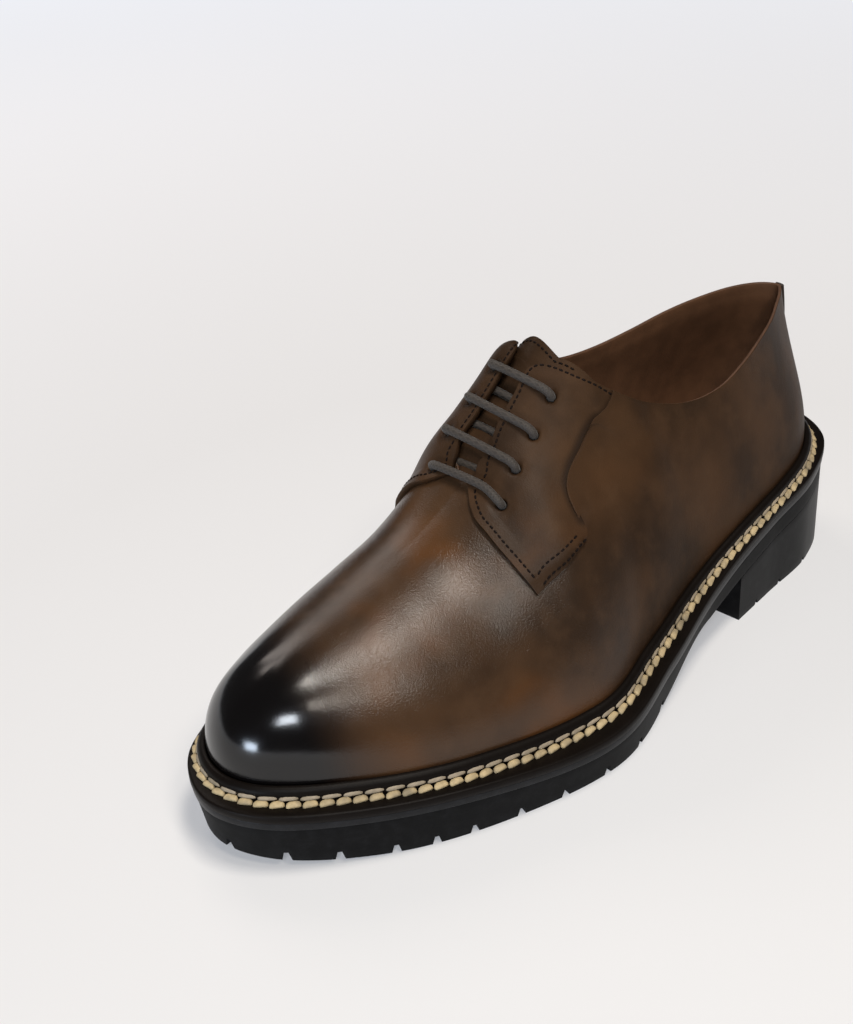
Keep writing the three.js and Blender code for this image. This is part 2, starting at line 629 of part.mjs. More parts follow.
// The storm welt: a flat margin outside the upper and a rib that stands against it
function weltGeometry() {
  const points = [];
  const faces = [];
  const SECTION = 6;
  const count = loopShares.length;
  loopShares.forEach((u) => {
    const side = u > 1 ? 'inner' : 'outer';
    const share = onOneSide(u);
    const edge = insetPoint(side, share, 0);
    const normal = sideNormal(side, share);
    const wall = (height) => {
      const level = levelAtHeight(u, height);
      return offsetSurface(u, level, CLEAR);
    };
    const low = wall(-WELT_THICKNESS + CLEAR);
    const middle = wall(0);
    const high = wall(RIB_HEIGHT);
    const bead = (p, out, z) => p.clone().addScaledVector(normal, out).setZ(z);
    points.push(
      edge.clone().setZ(edge.z - WELT_THICKNESS),
      edge,
      bead(middle, RIB_WIDTH, weltTop(middle.y)),
      bead(high, RIB_TOP_WIDTH, high.z),
      high,
      bead(low, 0, weltBottom(low.y)),
    );
  });
  for (let k = 0; k < count; k += 1) {
    const n = (k + 1) % count;
    for (let s = 0; s < SECTION; s += 1) {
      const t = (s + 1) % SECTION;
      const [a, b, c, d] = [k * SECTION + s, n * SECTION + s, n * SECTION + t, k * SECTION + t];
      faces.push([a, b, c], [a, c, d]);
    }
  }
  return solidGeometry(points, faces);
}

// A facing lies on the upper, from the collar down to its stitched foot
const FACING_ROW_STEPS = 2;
const FACING_ACROSS = 9;

function facingGeometry(side) {
  const rungs = [];
  const rows = (FACING.length - 1) * FACING_ROW_STEPS;
  for (let i = 0; i <= rows; i += 1) {
    const at = i / FACING_ROW_STEPS;
    const k = Math.min(Math.floor(at), FACING.length - 2);
    const edge = (column) => THREE.MathUtils.lerp(FACING[k][column], FACING[k + 1][column], at - k);
    const rung = { top: [], bottom: [] };
    for (let j = 0; j <= FACING_ACROSS; j += 1) {
      const t = j / FACING_ACROSS;
      const share = THREE.MathUtils.lerp(edge('frontShare'), edge('rearShare'), t);
      const level = THREE.MathUtils.lerp(edge('frontLevel'), edge('rearLevel'), t);
      const u = side === 'outer' ? share : LOOP - share;
      rung.top.push(offsetSurface(u, level, FACING_CLEAR + FACING_THICKNESS));
      rung.bottom.push(offsetSurface(u, level, FACING_CLEAR));
    }
    rungs.push(rung);
  }
  return plateGeometry(rungs);
}

// The tongue lies against the inside of the wall and bridges the throat
function tongueGeometry() {
  const LEVELS = [0, 0.35, 0.7, 1];
  const BRIDGE_STEPS = 4;
  const depth = UPPER_WALL + 2 * CLEAR;
  const line = (share, sideLevel, inwards) => {
    const arm = (mirrored) => LEVELS.map((t) => {
      const level = THREE.MathUtils.lerp(sideLevel, TONGUE_CROWN, t);
      return offsetSurface(mirrored ? LOOP - share : share, level, -inwards);
    });
    const outer = arm(false);
    const inner = arm(true).reverse();
    const crown = outer[outer.length - 1];
    const far = inner[0];
    const bridge = [];
    for (let i = 1; i < BRIDGE_STEPS; i += 1) bridge.push(crown.clone().lerp(far, i / BRIDGE_STEPS));
    return [...outer, ...bridge, ...inner];
  };
  const rungs = TONGUE.map((row) => ({
    top: line(row.share, row.sideLevel, depth + row.sink),
    bottom: line(row.share, row.sideLevel, depth + row.sink + TONGUE_THICKNESS),
  }));
  const last = rungs[rungs.length - 1];
  const half = (last.top.length - 1) / 2;
  const slope = last.top[half].clone().sub(rungs[rungs.length - 2].top[half]).normalize();
  const beyond = (p, j, share) => {
    const aside = ((j - half) / half) ** 2;
    const raised = p.clone().addScaledVector(slope, TONGUE_REACH * share * (1 - aside));
    return raised.setZ(raised.z - TONGUE_DROP * share * aside);
  };
  [0.5, 1].forEach((share) => {
    rungs.push({
      top: last.top.map((p, j) => beyond(p, j, share)),
      bottom: last.bottom.map((p, j) => beyond(p, j, share)),
    });
  });
  return plateGeometry(rungs);
}

// A narrow strip over the back seam, below the collar
const STRIP_WIDTH = 0.024;
const STRIP_TAPER = 0.35;
const STRIP_TOP = 0.995;
const STRIP_FOOT = 0.74;
const STRIP_STEPS = 6;

function backStripGeometry() {
  const rungs = [];
  for (let i = 0; i <= STRIP_STEPS; i += 1) {
    const level = THREE.MathUtils.lerp(STRIP_TOP, STRIP_FOOT, i / STRIP_STEPS);
    const width = STRIP_WIDTH * (1 - STRIP_TAPER * (i / STRIP_STEPS));
    const rung = { top: [], bottom: [] };
    for (let j = -1; j <= 1; j += 1) {
      const u = (LOOP + j * width / 2) % LOOP;
      rung.top.push(offsetSurface(u, level, CLEAR + STRIP_THICKNESS));
      rung.bottom.push(offsetSurface(u, level, CLEAR));
    }
    rungs.push(rung);
  }
  return plateGeometry(rungs);
}

// A lace bar arches from hole to hole, clear of the facings and the tongue
function laceBarGeometry(row) {
  const lift = FACING_CLEAR + FACING_THICKNESS + CLEAR + LACE_SLACK + CORD_DIAMETER / 2;
  const half = (u, level) => [0, 0.5, 1].map((t) => (
    offsetSurface(u, THREE.MathUtils.lerp(level, LACE_ARCH, t), lift)));
  const path = new THREE.CatmullRomCurve3([
    ...half(row.share, row.outerLevel),
    ...half(LOOP - row.share, row.innerLevel).reverse(),
  ]);
  const section = new THREE.Shape();
  for (let i = 0; i < CORD_SIDES; i += 1) {
    const angle = (i / CORD_SIDES) * 2 * Math.PI;
    const x = Math.cos(angle) * CORD_DIAMETER / 2;
    const y = Math.sin(angle) * CORD_DIAMETER / 2;
    if (i === 0) section.moveTo(x, y);
    else section.lineTo(x, y);
  }
  section.closePath();
  return new THREE.ExtrudeGeometry(section, { steps: CORD_STEPS, extrudePath: path, bevelEnabled: false });
}

// Assembly
const shoe = new THREE.Group();

function addPart(name, geometry, color, roughness) {
  const material = new THREE.MeshStandardMaterial({ color, roughness, metalness: 0 });
  const mesh = new THREE.Mesh(geometry, material);
  mesh.name = name;
  shoe.add(mesh);
}

addPart('outsole', outsoleGeometry(), 0x17171a, 0.8);
addPart('heel', heelGeometry(), 0x202024, 0.5);
addPart('midsole', midsoleGeometry(), 0x2c2c31, 0.45);
addPart('storm_welt', weltGeometry(), 0x241915, 0.5);
addPart('insole', insoleGeometry(), 0x9a7350, 0.7);
addPart('upper', upperGeometry(), 0x4a2f20, 0.35);
addPart('facing_outer', facingGeometry('outer'), 0x4a2e21, 0.35);
addPart('facing_inner', facingGeometry('inner'), 0x4a2e21, 0.35);
addPart('tongue', tongueGeometry(), 0x4d3226, 0.5);
addPart('back_strip', backStripGeometry(), 0x2a1c17, 0.45);
LACE_HOLES.forEach((row, i) => addPart(`lace_bar_${i + 1}`, laceBarGeometry(row), 0x3d3630, 0.8));

// The origin lies on the ground, under the middle of the shoe's box
const middle = new THREE.Box3().setFromObject(shoe).getCenter(new THREE.Vector3());
shoe.children.forEach((mesh) => mesh.geometry.translate(-middle.x, -middle.y, 0));

export default shoe;
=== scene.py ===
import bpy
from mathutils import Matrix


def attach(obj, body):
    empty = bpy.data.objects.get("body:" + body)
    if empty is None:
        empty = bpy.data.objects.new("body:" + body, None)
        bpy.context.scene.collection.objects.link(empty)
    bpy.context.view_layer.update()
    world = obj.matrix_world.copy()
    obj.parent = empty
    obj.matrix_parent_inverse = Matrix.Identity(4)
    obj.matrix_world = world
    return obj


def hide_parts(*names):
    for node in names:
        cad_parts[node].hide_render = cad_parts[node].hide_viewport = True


bl_info = {
    "name": "Left derby shoe",
    "version": (1, 0, 0),
    "blender": (4, 5, 0),
    "location": "View3D > Sidebar > Shoe",
    "description": "Dresses the CAD of a plain-toe derby shoe and sets a studio round it",
    "category": "Add Mesh",
}

from functools import partial

import bmesh
import bpy
import numpy as np
from mathutils import Matrix, Vector

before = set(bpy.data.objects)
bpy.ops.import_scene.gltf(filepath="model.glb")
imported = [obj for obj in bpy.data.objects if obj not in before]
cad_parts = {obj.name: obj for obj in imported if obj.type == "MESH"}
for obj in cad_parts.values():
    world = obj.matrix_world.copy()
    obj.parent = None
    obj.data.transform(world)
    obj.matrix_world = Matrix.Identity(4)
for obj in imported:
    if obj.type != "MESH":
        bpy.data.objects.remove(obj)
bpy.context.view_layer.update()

# Lengths below are millimetres in the frame of the CAD's tables; this turns them to the row's metres
MM = 0.001
TABLE_ORIGIN = np.array([6.75, -1.1, 0.0])
ROOT = "root"

# Driving sizes, as in the CAD
SOLE_LENGTH = 306.0
BALL_WIDTH = 118.0
SEAT_HEIGHT = 45.4
INSTEP_RISE = 94.0
TOE_SPRING = 5.7
HEEL_LENGTH = 89.0
WELT_THICKNESS = 3.2
WELT_WIDTH = 10.0
RIB_HEIGHT = 5.6
RIB_WIDTH = 2.9
MIDSOLE_THICKNESS = 2.2
OUTSOLE_BAND = 7.4
INSOLE_THICKNESS = 3.0
UPPER_WALL = 2.2
CLEAR = 0.3
SPRING_START = -0.31
STAND_END = -0.05
ARCH_END = 0.13
TOE_END = -0.5

LOOP = 2.0
NORMAL_STEP = 0.004
TINY = 1e-9
HALF = 0.5
HALVINGS = 22
UP = np.array([0, 0, 1.0])


def table(columns, rows):
    """Columns of a table by name."""
    values = np.array(rows, dtype=float).T
    return {name: values[i] for i, name in enumerate(columns.split())}


# Sole outline from the heel's back round the outer side, in shares of ball width and sole length
OUTLINE = table("across along", [
    (0, 0.496), (0.22, 0.462), (0.32, 0.385), (0.352, 0.278), (0.4, 0.134), (0.487, 0.009),
    (0.557, -0.111), (0.473, -0.263), (0.311, -0.394), (0.114, -0.483), (-0.052, -0.503),
    (-0.244, -0.467), (-0.386, -0.359), (-0.442, -0.229), (-0.414, -0.114), (-0.329, 0.001),
    (-0.293, 0.131), (-0.307, 0.278), (-0.324, 0.386), (-0.233, 0.467),
])

# Height of the welt's top edge, in shares of sole length and seat height
PROFILE = table("along height", [
    (-0.5, 0.533), (-0.31, 0.454), (-0.147, 0.381), (0, 0.48), (0.114, 0.588), (0.229, 0.751),
    (0.359, 0.883), (0.5, 1),
])

# Width of the welt outside the upper, in shares of WELT_WIDTH, from heel (0) to toe (1)
WELT_MARGIN = table("share outer inner", [
    (0, 0.86, 0.86), (0.05, 0.91, 0.82), (0.1, 0.91, 0.77), (0.15, 0.76, 0.72), (0.25, 0.62, 0.67),
    (0.35, 0.77, 0.67), (0.45, 0.92, 0.67), (0.55, 1.02, 0.77), (0.62, 1.16, 0.87), (0.7, 1.05, 0.87),
    (0.78, 0.94, 0.82), (0.9, 1.02, 0.67), (1, 0.97, 0.97),
])

# The last's ribs from the back seam (0) to the toe's tip (1): where each ends, the length and lean of
# its pulls, and whether it meets the other side on the ridge
RIB_COLUMNS = "share across along rise foot lean crown drop closed"
OUTER_RIBS = table(RIB_COLUMNS, [
    (0, -0.003, 0.471, 0.608, 0.213, 8, 0.203, 80, 0),
    (0.05, 0.039, 0.453, 0.611, 0.213, 8, 0.203, 79, 0),
    (0.1, 0.089, 0.417, 0.624, 0.213, 9, 0.203, 78, 0),
    (0.15, 0.144, 0.374, 0.636, 0.213, 10, 0.203, 77, 0),
    (0.2, 0.191, 0.324, 0.645, 0.213, 10, 0.203, 76, 0),
    (0.25, 0.229, 0.268, 0.646, 0.213, 9, 0.203, 75, 0),
    (0.3, 0.246, 0.212, 0.647, 0.213, 8, 0.203, 72, 0),
    (0.35, 0.236, 0.157, 0.69, 0.234, 7, 0.203, 67, 0),
    (0.4, 0.21, 0.103, 0.777, 0.266, 6, 0.22, 59, 0),
    (0.45, 0.174, 0.056, 0.877, 0.298, 5, 0.237, 50, 0),
    (0.475, 0.106, 0.028, 0.951, 0.314, 5, 0.246, 38, 0),
    (0.505, 0.013, 0, 1, 0.33, 5, 0.263, 22, 0),
    (0.53, 0.017, -0.029, 0.936, 0.33, 6, 0.263, 20, 0),
    (0.56, 0.027, -0.062, 0.862, 0.319, 7, 0.254, 18, 0),
    (0.585, 0.039, -0.093, 0.791, 0.309, 8, 0.246, 16, 0),
    (0.61, -0.036, -0.118, 0.749, 0.298, 8, 0.28, 8, 1),
    (0.66, -0.039, -0.18, 0.627, 0.266, 8, 0.237, 4, 1),
    (0.71, -0.041, -0.235, 0.556, 0.245, 8, 0.22, 2, 1),
    (0.76, -0.042, -0.281, 0.503, 0.234, 9, 0.203, 0, 1),
    (0.81, -0.042, -0.32, 0.462, 0.223, 9, 0.186, 0, 1),
    (0.86, -0.042, -0.351, 0.43, 0.213, 10, 0.169, 0, 1),
    (0.91, -0.042, -0.376, 0.404, 0.213, 10, 0.157, 0, 1),
    (0.96, -0.042, -0.392, 0.384, 0.213, 10, 0.148, 0, 1),
    (1, -0.042, -0.4, 0.374, 0.213, 10, 0.144, 0, 1),
])
INNER_RIBS = table(RIB_COLUMNS, [
    (0, -0.003, 0.471, 0.608, 0.213, 8, 0.203, 80, 0),
    (0.05, -0.068, 0.459, 0.614, 0.213, 9, 0.203, 79, 0),
    (0.1, -0.123, 0.425, 0.625, 0.213, 9, 0.203, 78, 0),
    (0.15, -0.165, 0.376, 0.635, 0.213, 9, 0.203, 78, 0),
    (0.2, -0.195, 0.324, 0.643, 0.213, 8, 0.203, 77, 0),
    (0.25, -0.216, 0.265, 0.65, 0.213, 7, 0.203, 75, 0),
    (0.3, -0.233, 0.206, 0.673, 0.213, 5, 0.203, 72, 0),
    (0.35, -0.237, 0.15, 0.73, 0.234, 4, 0.203, 67, 0),
    (0.4, -0.225, 0.101, 0.808, 0.266, 3, 0.212, 58, 0),
    (0.45, -0.203, 0.059, 0.903, 0.298, 2, 0.22, 46, 0),
    (0.475, -0.165, 0.031, 0.979, 0.309, 2, 0.22, 30, 0),
    (0.505, -0.112, 0.007, 1.04, 0.319, 2, 0.212, 12, 0),
    (0.53, -0.112, -0.023, 0.975, 0.319, 3, 0.212, 8, 0),
    (0.56, -0.114, -0.059, 0.897, 0.309, 3, 0.212, 5, 0),
    (0.585, -0.115, -0.092, 0.823, 0.298, 4, 0.212, 2, 0),
    (0.61, -0.036, -0.118, 0.749, 0.287, 5, 0.263, 8, 1),
    (0.66, -0.039, -0.18, 0.627, 0.277, 6, 0.237, 4, 1),
    (0.71, -0.041, -0.235, 0.556, 0.266, 7, 0.22, 2, 1),
    (0.76, -0.042, -0.281, 0.503, 0.255, 8, 0.203, 0, 1),
    (0.81, -0.042, -0.32, 0.462, 0.234, 9, 0.186, 0, 1),
    (0.86, -0.042, -0.351, 0.43, 0.223, 10, 0.169, 0, 1),
    (0.91, -0.042, -0.376, 0.404, 0.218, 10, 0.157, 0, 1),
    (0.96, -0.042, -0.392, 0.384, 0.213, 10, 0.148, 0, 1),
    (1, -0.042, -0.4, 0.374, 0.213, 10, 0.144, 0, 1),
])

# A facing from the collar down to its stitched foot: share and level of its front and rear edges
FACING = table("front_share front_level rear_share rear_level", [
    (0.498, 1.02, 0.452, 1.0), (0.507, 1.038, 0.4652, 0.91), (0.53, 1.045, 0.478, 0.84),
    (0.56, 1.05, 0.4935, 0.778), (0.585, 1.05, 0.509, 0.75), (0.6, 0.985, 0.5265, 0.749),
    (0.613, 0.935, 0.5425, 0.743), (0.621, 0.89, 0.5533, 0.721), (0.625, 0.83, 0.5572, 0.682),
    (0.625, 0.74, 0.558, 0.63), (0.623, 0.64, 0.5582, 0.585), (0.619, 0.525, 0.5635, 0.56),
])
FACING_ROWS = np.arange(len(FACING["front_share"]), dtype=float)

# The tongue from its root to the collar: share of the rib, level of its sides, extra depth, and how far
# its middle rises towards the vamp's surface where it comes out from under it
TONGUE = table("share side_level sink rise", [
    (0.65, 0.9, 0, 0), (0.625, 0.87, 0, 0.6), (0.61, 0.86, 0, 2.3), (0.6, 0.84, 0, 2.3),
    (0.575, 0.8, 0, 1.2), (0.55, 0.79, 0, 0.4), (0.525, 0.82, 0.3, 0), (0.505, 0.87, 1, 0),
])

# Lace holes from the lowest: share and level on the outer and the inner facing
HOLES = table("outer_share outer_level inner_share inner_level", [
    (0.602, 0.83, 0.61, 0.85), (0.577, 0.915, 0.58, 0.945), (0.55, 0.91, 0.554, 0.955),
    (0.518, 0.915, 0.524, 0.98),
])
HOLE_COUNT = len(HOLES["outer_share"])


def hermite(a, ma, b, mb, t):
    """Cubic between a and b with the tangents ma and mb."""
    t2 = t * t
    t3 = t2 * t
    return (2 * t3 - 3 * t2 + 1) * a + (t3 - 2 * t2 + t) * ma + (3 * t2 - 2 * t3) * b + (t3 - t2) * mb


def smooth(low, high, x):
    """0 below low, 1 above high, with a smooth rise between."""
    t = np.clip((x - low) / (high - low), 0, 1)
    return t * t * (3 - 2 * t)


def curve_at(xs, ys, x):
    """A smooth curve through a table's column that never overshoots its rows."""
    at = np.clip(x, xs[0], xs[-1])
    slopes = np.diff(ys) / np.diff(xs)
    before, after = slopes[:-1], slopes[1:]
    same = before * after > 0
    total = np.where(same, before + after, 1)
    between = np.where(same, 2 * before * after / total, 0)
    tangents = np.concatenate([slopes[:1], between, slopes[-1:]])
    k = np.clip(np.searchsorted(xs, at, side="right") - 1, 0, len(xs) - 2)
    width = xs[k + 1] - xs[k]
    return hermite(ys[k], tangents[k] * width, ys[k + 1], tangents[k + 1] * width, (at - xs[k]) / width)


def outline_points(samples=40):
    """The sole's outline as a closed centripetal curve."""
    corners = np.stack([OUTLINE["across"] * BALL_WIDTH, OUTLINE["along"] * SOLE_LENGTH], axis=1)
    t = np.linspace(0, 1, samples, endpoint=False)[:, None]
    spans = []
    for i in range(len(corners)):
        p0, p1, p2, p3 = np.roll(corners, 1 - i, axis=0)[:4]
        d0, d1, d2 = (np.linalg.norm(q - p) ** 0.5 for p, q in ((p0, p1), (p1, p2), (p2, p3)))
        m1 = ((p1 - p0) / d0 - (p2 - p0) / (d0 + d1) + (p2 - p1) / d1) * d1
        m2 = ((p2 - p1) / d1 - (p3 - p1) / (d1 + d2) + (p3 - p2) / d2) * d1
        spans.append(hermite(p1, m1, p2, m2, t))
    points = np.vstack(spans)
    return np.vstack([points, points[:1]])


def loop_table():
    """The outline with u at each point: 0 to 1 down the outer side, 1 to 2 back up the inner side."""
    points = outline_points()
    toe = int(np.argmin(points[:, 1]))
    steps = np.linalg.norm(np.diff(points, axis=0), axis=1)
    length = np.concatenate([[0], np.cumsum(steps)])
    outer = length[:toe + 1] / length[toe]
    inner = 1 + (length[toe + 1:] - length[toe]) / (length[-1] - length[toe])
    return np.concatenate([outer, inner]), points


LOOP_U, LOOP_XY = loop_table()


def edge_xy(u):
    """Point of the sole's outline at u."""
    return np.stack([np.interp(u, LOOP_U, LOOP_XY[:, i], period=LOOP) for i in range(2)], axis=-1)


def edge_normal(u):
    """Outward direction of the outline at u, level."""
    along = edge_xy(u + NORMAL_STEP) - edge_xy(u - NORMAL_STEP)
    along /= np.linalg.norm(along, axis=-1, keepdims=True)
    return np.stack([-along[..., 1], along[..., 0], np.zeros_like(along[..., 0])], axis=-1)


def share_of(u):
    """Share of its own side at u."""
    turned = np.mod(u, LOOP)
    return np.where(turned > 1, LOOP - turned, turned)


def welt_top(y):
    return curve_at(PROFILE["along"], PROFILE["height"], y / SOLE_LENGTH) * SEAT_HEIGHT


def welt_margin(u):
    share = share_of(u)
    outer, inner = (curve_at(WELT_MARGIN["share"], WELT_MARGIN[key], share) for key in ("outer", "inner"))
    return np.where(np.mod(u, LOOP) > 1, inner, outer) * WELT_WIDTH


def inset_point(u, inset):
    """Point inside the sole's edge, at the height of the welt's top."""
    xy = edge_xy(u) - edge_normal(u)[..., :2] * np.asarray(inset)[..., None]
    return np.concatenate([xy, welt_top(xy[..., 1])[..., None]], axis=-1)


def rib_top(rows, i):
    along = rows["along"][i] * SOLE_LENGTH
    rise = rows["rise"][i] * INSTEP_RISE
    return np.array([rows["across"][i] * BALL_WIDTH, along, welt_top(along) + rise])


def rib_controls(rows, i, inner):
    """The four controls of one rib of the last."""
    share = rows["share"][i]
    u = LOOP - share if inner else share
    foot = inset_point(u, welt_margin(u))
    foot[2] -= WELT_THICKNESS - CLEAR
    normal = edge_normal(u)
    top = rib_top(rows, i)
    lean = np.radians(rows["lean"][i])
    drop = np.radians(rows["drop"][i])
    if rows["closed"][i]:
        last = len(rows["share"]) - 1
        ridge = rib_top(rows, min(i + 1, last)) - rib_top(rows, max(i - 1, 0))
        ridge /= np.linalg.norm(ridge)
        crown = np.array([normal[0], 0, -np.tan(drop) * normal[0]]) - ridge * normal[1]
        crown /= np.linalg.norm(crown)
    else:
        crown = normal * np.cos(drop) - UP * np.sin(drop)
    pull = rows["foot"][i] * INSTEP_RISE + WELT_THICKNESS
    return [foot, foot + (normal * np.sin(lean) + UP * np.cos(lean)) * pull,
            top + crown * rows["crown"][i] * BALL_WIDTH, top]


def rib_table():
    """All ribs round the loop: u, controls and their tangents."""
    outer = [(OUTER_RIBS["share"][i], rib_controls(OUTER_RIBS, i, False))
             for i in range(len(OUTER_RIBS["share"]))]
    inner = [(LOOP - INNER_RIBS["share"][i], rib_controls(INNER_RIBS, i, True))
             for i in range(len(INNER_RIBS["share"]) - 2, 0, -1)]
    us = np.array([u for u, _ in outer + inner])
    controls = np.array([c for _, c in outer + inner])
    gaps = np.mod(np.roll(us, -1) - us, LOOP)
    behind = np.roll(gaps, 1)
    ahead = (np.roll(controls, -1, axis=0) - controls) / gaps[:, None, None]
    back = np.roll(ahead, 1, axis=0)
    near, far = gaps[:, None, None], behind[:, None, None]
    tangents = (back * near + ahead * far) / (near + far)
    return us, controls, tangents, gaps


RIB_U, RIB_CONTROLS, RIB_TANGENTS, RIB_GAPS = rib_table()


def last_point(u, v):
    """The last's surface: u round the loop, v from the foot (0) to the ridge, throat or collar (1)."""
    u, v = np.broadcast_arrays(np.asarray(u, dtype=float), np.asarray(v, dtype=float))
    at = np.mod(u, LOOP)
    i = np.searchsorted(RIB_U, at + TINY, side="right") - 1
    n = (i + 1) % len(RIB_U)
    width = RIB_GAPS[i]
    t = ((at - RIB_U[i]) / width)[..., None, None]
    scale = width[..., None, None]
    controls = hermite(RIB_CONTROLS[i], RIB_TANGENTS[i] * scale, RIB_CONTROLS[n], RIB_TANGENTS[n] * scale, t)
    w = 1 - v
    weights = np.stack([w ** 3, 3 * w * w * v, 3 * w * v * v, v ** 3], axis=-1)
    return (controls * weights[..., None]).sum(axis=-2)


def last_normal(u, v):
    """Outward direction of the last's surface; where both sides meet at the tip it is taken a step aside."""
    u, v = np.broadcast_arrays(np.asarray(u, dtype=float), np.asarray(v, dtype=float))
    u = np.where((np.abs(u - 1) < TINY) & (v > 1 - TINY), u - NORMAL_STEP, u)
    du = last_point(u + NORMAL_STEP, v) - last_point(u - NORMAL_STEP, v)
    dv = last_point(u, v + NORMAL_STEP) - last_point(u, v - NORMAL_STEP)
    normal = np.cross(dv, du)
    return normal / np.linalg.norm(normal, axis=-1, keepdims=True)


def on_last(u, v, height):
    """A point at a height above the last's surface."""
    return last_point(u, v) + last_normal(u, v) * np.asarray(height)[..., None]


# Where the two sides meet on the ridge, the ridge is made round instead of peaked
CLOSED_FROM = 0.61
RIDGE_OPEN = 0.58
RIDGE_BLEND = 0.55
RIDGE_ROUND = 11.0
RIDGE_FADE = 4 * RIDGE_ROUND
CLOSED_SHARES = OUTER_RIBS["share"][OUTER_RIBS["closed"] > 0]
RIDGE_PEAKS = np.tan(np.radians(OUTER_RIBS["drop"][OUTER_RIBS["closed"] > 0]))


def shoe_surface(u, v, height):
    """The last's surface at a height, with both sides joined smoothly along the ridge of the vamp."""
    u, v, height = (np.array(x, dtype=float) for x in np.broadcast_arrays(u, v, height))
    point = on_last(u, v, height)
    share = share_of(u)
    own_top = on_last(u, np.ones_like(v), height)
    twin_top = on_last(LOOP - u, np.ones_like(v), height)
    closed = (share >= CLOSED_FROM - TINY)[..., None]
    top = np.where(closed, (own_top + twin_top) / 2, own_top)
    joined = point + (top - own_top) * smooth(RIDGE_BLEND, 1, v)[..., None]
    away = np.linalg.norm(joined - top, axis=-1)
    peak = np.interp(share, CLOSED_SHARES, RIDGE_PEAKS) * smooth(RIDGE_OPEN, CLOSED_FROM, share)
    joined[..., 2] -= peak * (np.hypot(away, RIDGE_ROUND) - away) * (1 - smooth(0, RIDGE_FADE, away))
    return joined


def level_at_height(u, height):
    """Level on the lower half of the last at which it reaches a height above the welt."""
    low = np.zeros_like(u)
    high = np.full_like(u, HALF)
    for _ in range(HALVINGS):
        middle = (low + high) / 2
        point = last_point(u, middle)
        under = point[..., 2] < welt_top(point[..., 1]) + height
        low = np.where(under, middle, low)
        high = np.where(under, high, middle)
    return low


# Bmesh helpers

SEAM_MERGE = 0.004 * MM
BEVEL_PROFILE = 0.5
NO_MATERIAL = -1


def to_row(points):
    return (points - TABLE_ORIGIN) * MM


def shaped_grid(bm, columns, rows, place, coat=0.0):
    """Adds a grid whose points are put where place(a, b) says, with a and b from 0 to 1, and marks them
    with their level b and with which coat they are."""
    level = bm.verts.layers.float.get("level") or bm.verts.layers.float.new("level")
    side = bm.verts.layers.float.get("coat") or bm.verts.layers.float.new("coat")
    made = bmesh.ops.create_grid(bm, x_segments=columns, y_segments=rows, size=HALF)["verts"]
    flat = np.array([v.co for v in made]) + HALF
    for vert, spot, b in zip(made, to_row(place(flat[:, 0], flat[:, 1])), flat[:, 1]):
        vert.co = spot
        vert[level] = b
        vert[side] = coat
    return bm


def merge_seams(bm):
    bmesh.ops.remove_doubles(bm, verts=bm.verts, dist=SEAM_MERGE)


def border_edges(bm):
    return [e for e in bm.edges if len(e.link_faces) == 1]


def slab(columns, rows, top, bottom, rounding, sides=2, walls=0):
    """A plate between two shaped grids with one outline, its edges rounded and its walls in rows."""
    bm = shaped_grid(shaped_grid(bmesh.new(), columns, rows, top), columns, rows, bottom, 1.0)
    merge_seams(bm)
    borders = border_edges(bm)
    bmesh.ops.bridge_loops(bm, edges=borders)
    bmesh.ops.recalc_face_normals(bm, faces=bm.faces)
    coat = bm.verts.layers.float["coat"]
    rims = [e for e in borders if e.is_valid and (sides == 2 or e.verts[0][coat] < HALF)]
    bmesh.ops.bevel(bm, geom=rims, offset=rounding * MM, segments=3, profile=BEVEL_PROFILE,
                    affect="EDGES", material=NO_MATERIAL, clamp_overlap=True)
    if walls:
        upright = [e for e in bm.edges if abs(e.verts[0][coat] - e.verts[1][coat]) > HALF]
        bmesh.ops.subdivide_edges(bm, edges=upright, cuts=walls, use_grid_fill=True)
    return bm


def add_piece(name, bm, materials, nodes=()):
    """Links a finished mesh as one piece of the shoe."""
    bmesh.ops.recalc_face_normals(bm, faces=bm.faces)
    if bm.calc_volume(signed=True) < 0:
        bmesh.ops.reverse_faces(bm, faces=bm.faces)
    mesh = bpy.data.meshes.new(name)
    bm.to_mesh(mesh)
    bm.free()
    for material in materials:
        mesh.materials.append(material)
    mesh.polygons.foreach_set("use_smooth", [True] * len(mesh.polygons))
    piece = bpy.data.objects.new(name, mesh)
    bpy.context.scene.collection.objects.link(piece)
    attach(piece, ROOT)
    if nodes:
        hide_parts(*nodes)
    return piece


def sharp_by_angle(piece, degrees=40):
    """Keeps edges crisp where faces meet at more than an angle."""
    piece.data.set_sharp_from_angle(angle=np.radians(degrees))


def boolean_cut(piece, cutters):
    """Cuts a mesh of blocks out of a piece."""
    mesh = bpy.data.meshes.new(piece.name + "_cutters")
    cutters.to_mesh(mesh)
    cutters.free()
    block = bpy.data.objects.new(piece.name + "_cutters", mesh)
    bpy.context.scene.collection.objects.link(block)
    cut = piece.modifiers.new("cut", "BOOLEAN")
    cut.operation = "DIFFERENCE"
    cut.solver = "MANIFOLD"
    cut.object = block
    graph = bpy.context.evaluated_depsgraph_get()
    result = bpy.data.meshes.new_from_object(piece.evaluated_get(graph))
    piece.modifiers.clear()
    old = piece.data
    piece.data = result
    bpy.data.meshes.remove(old)
    bpy.data.objects.remove(block)
    bpy.data.meshes.remove(mesh)


STITCH_SQUARE = 0.7


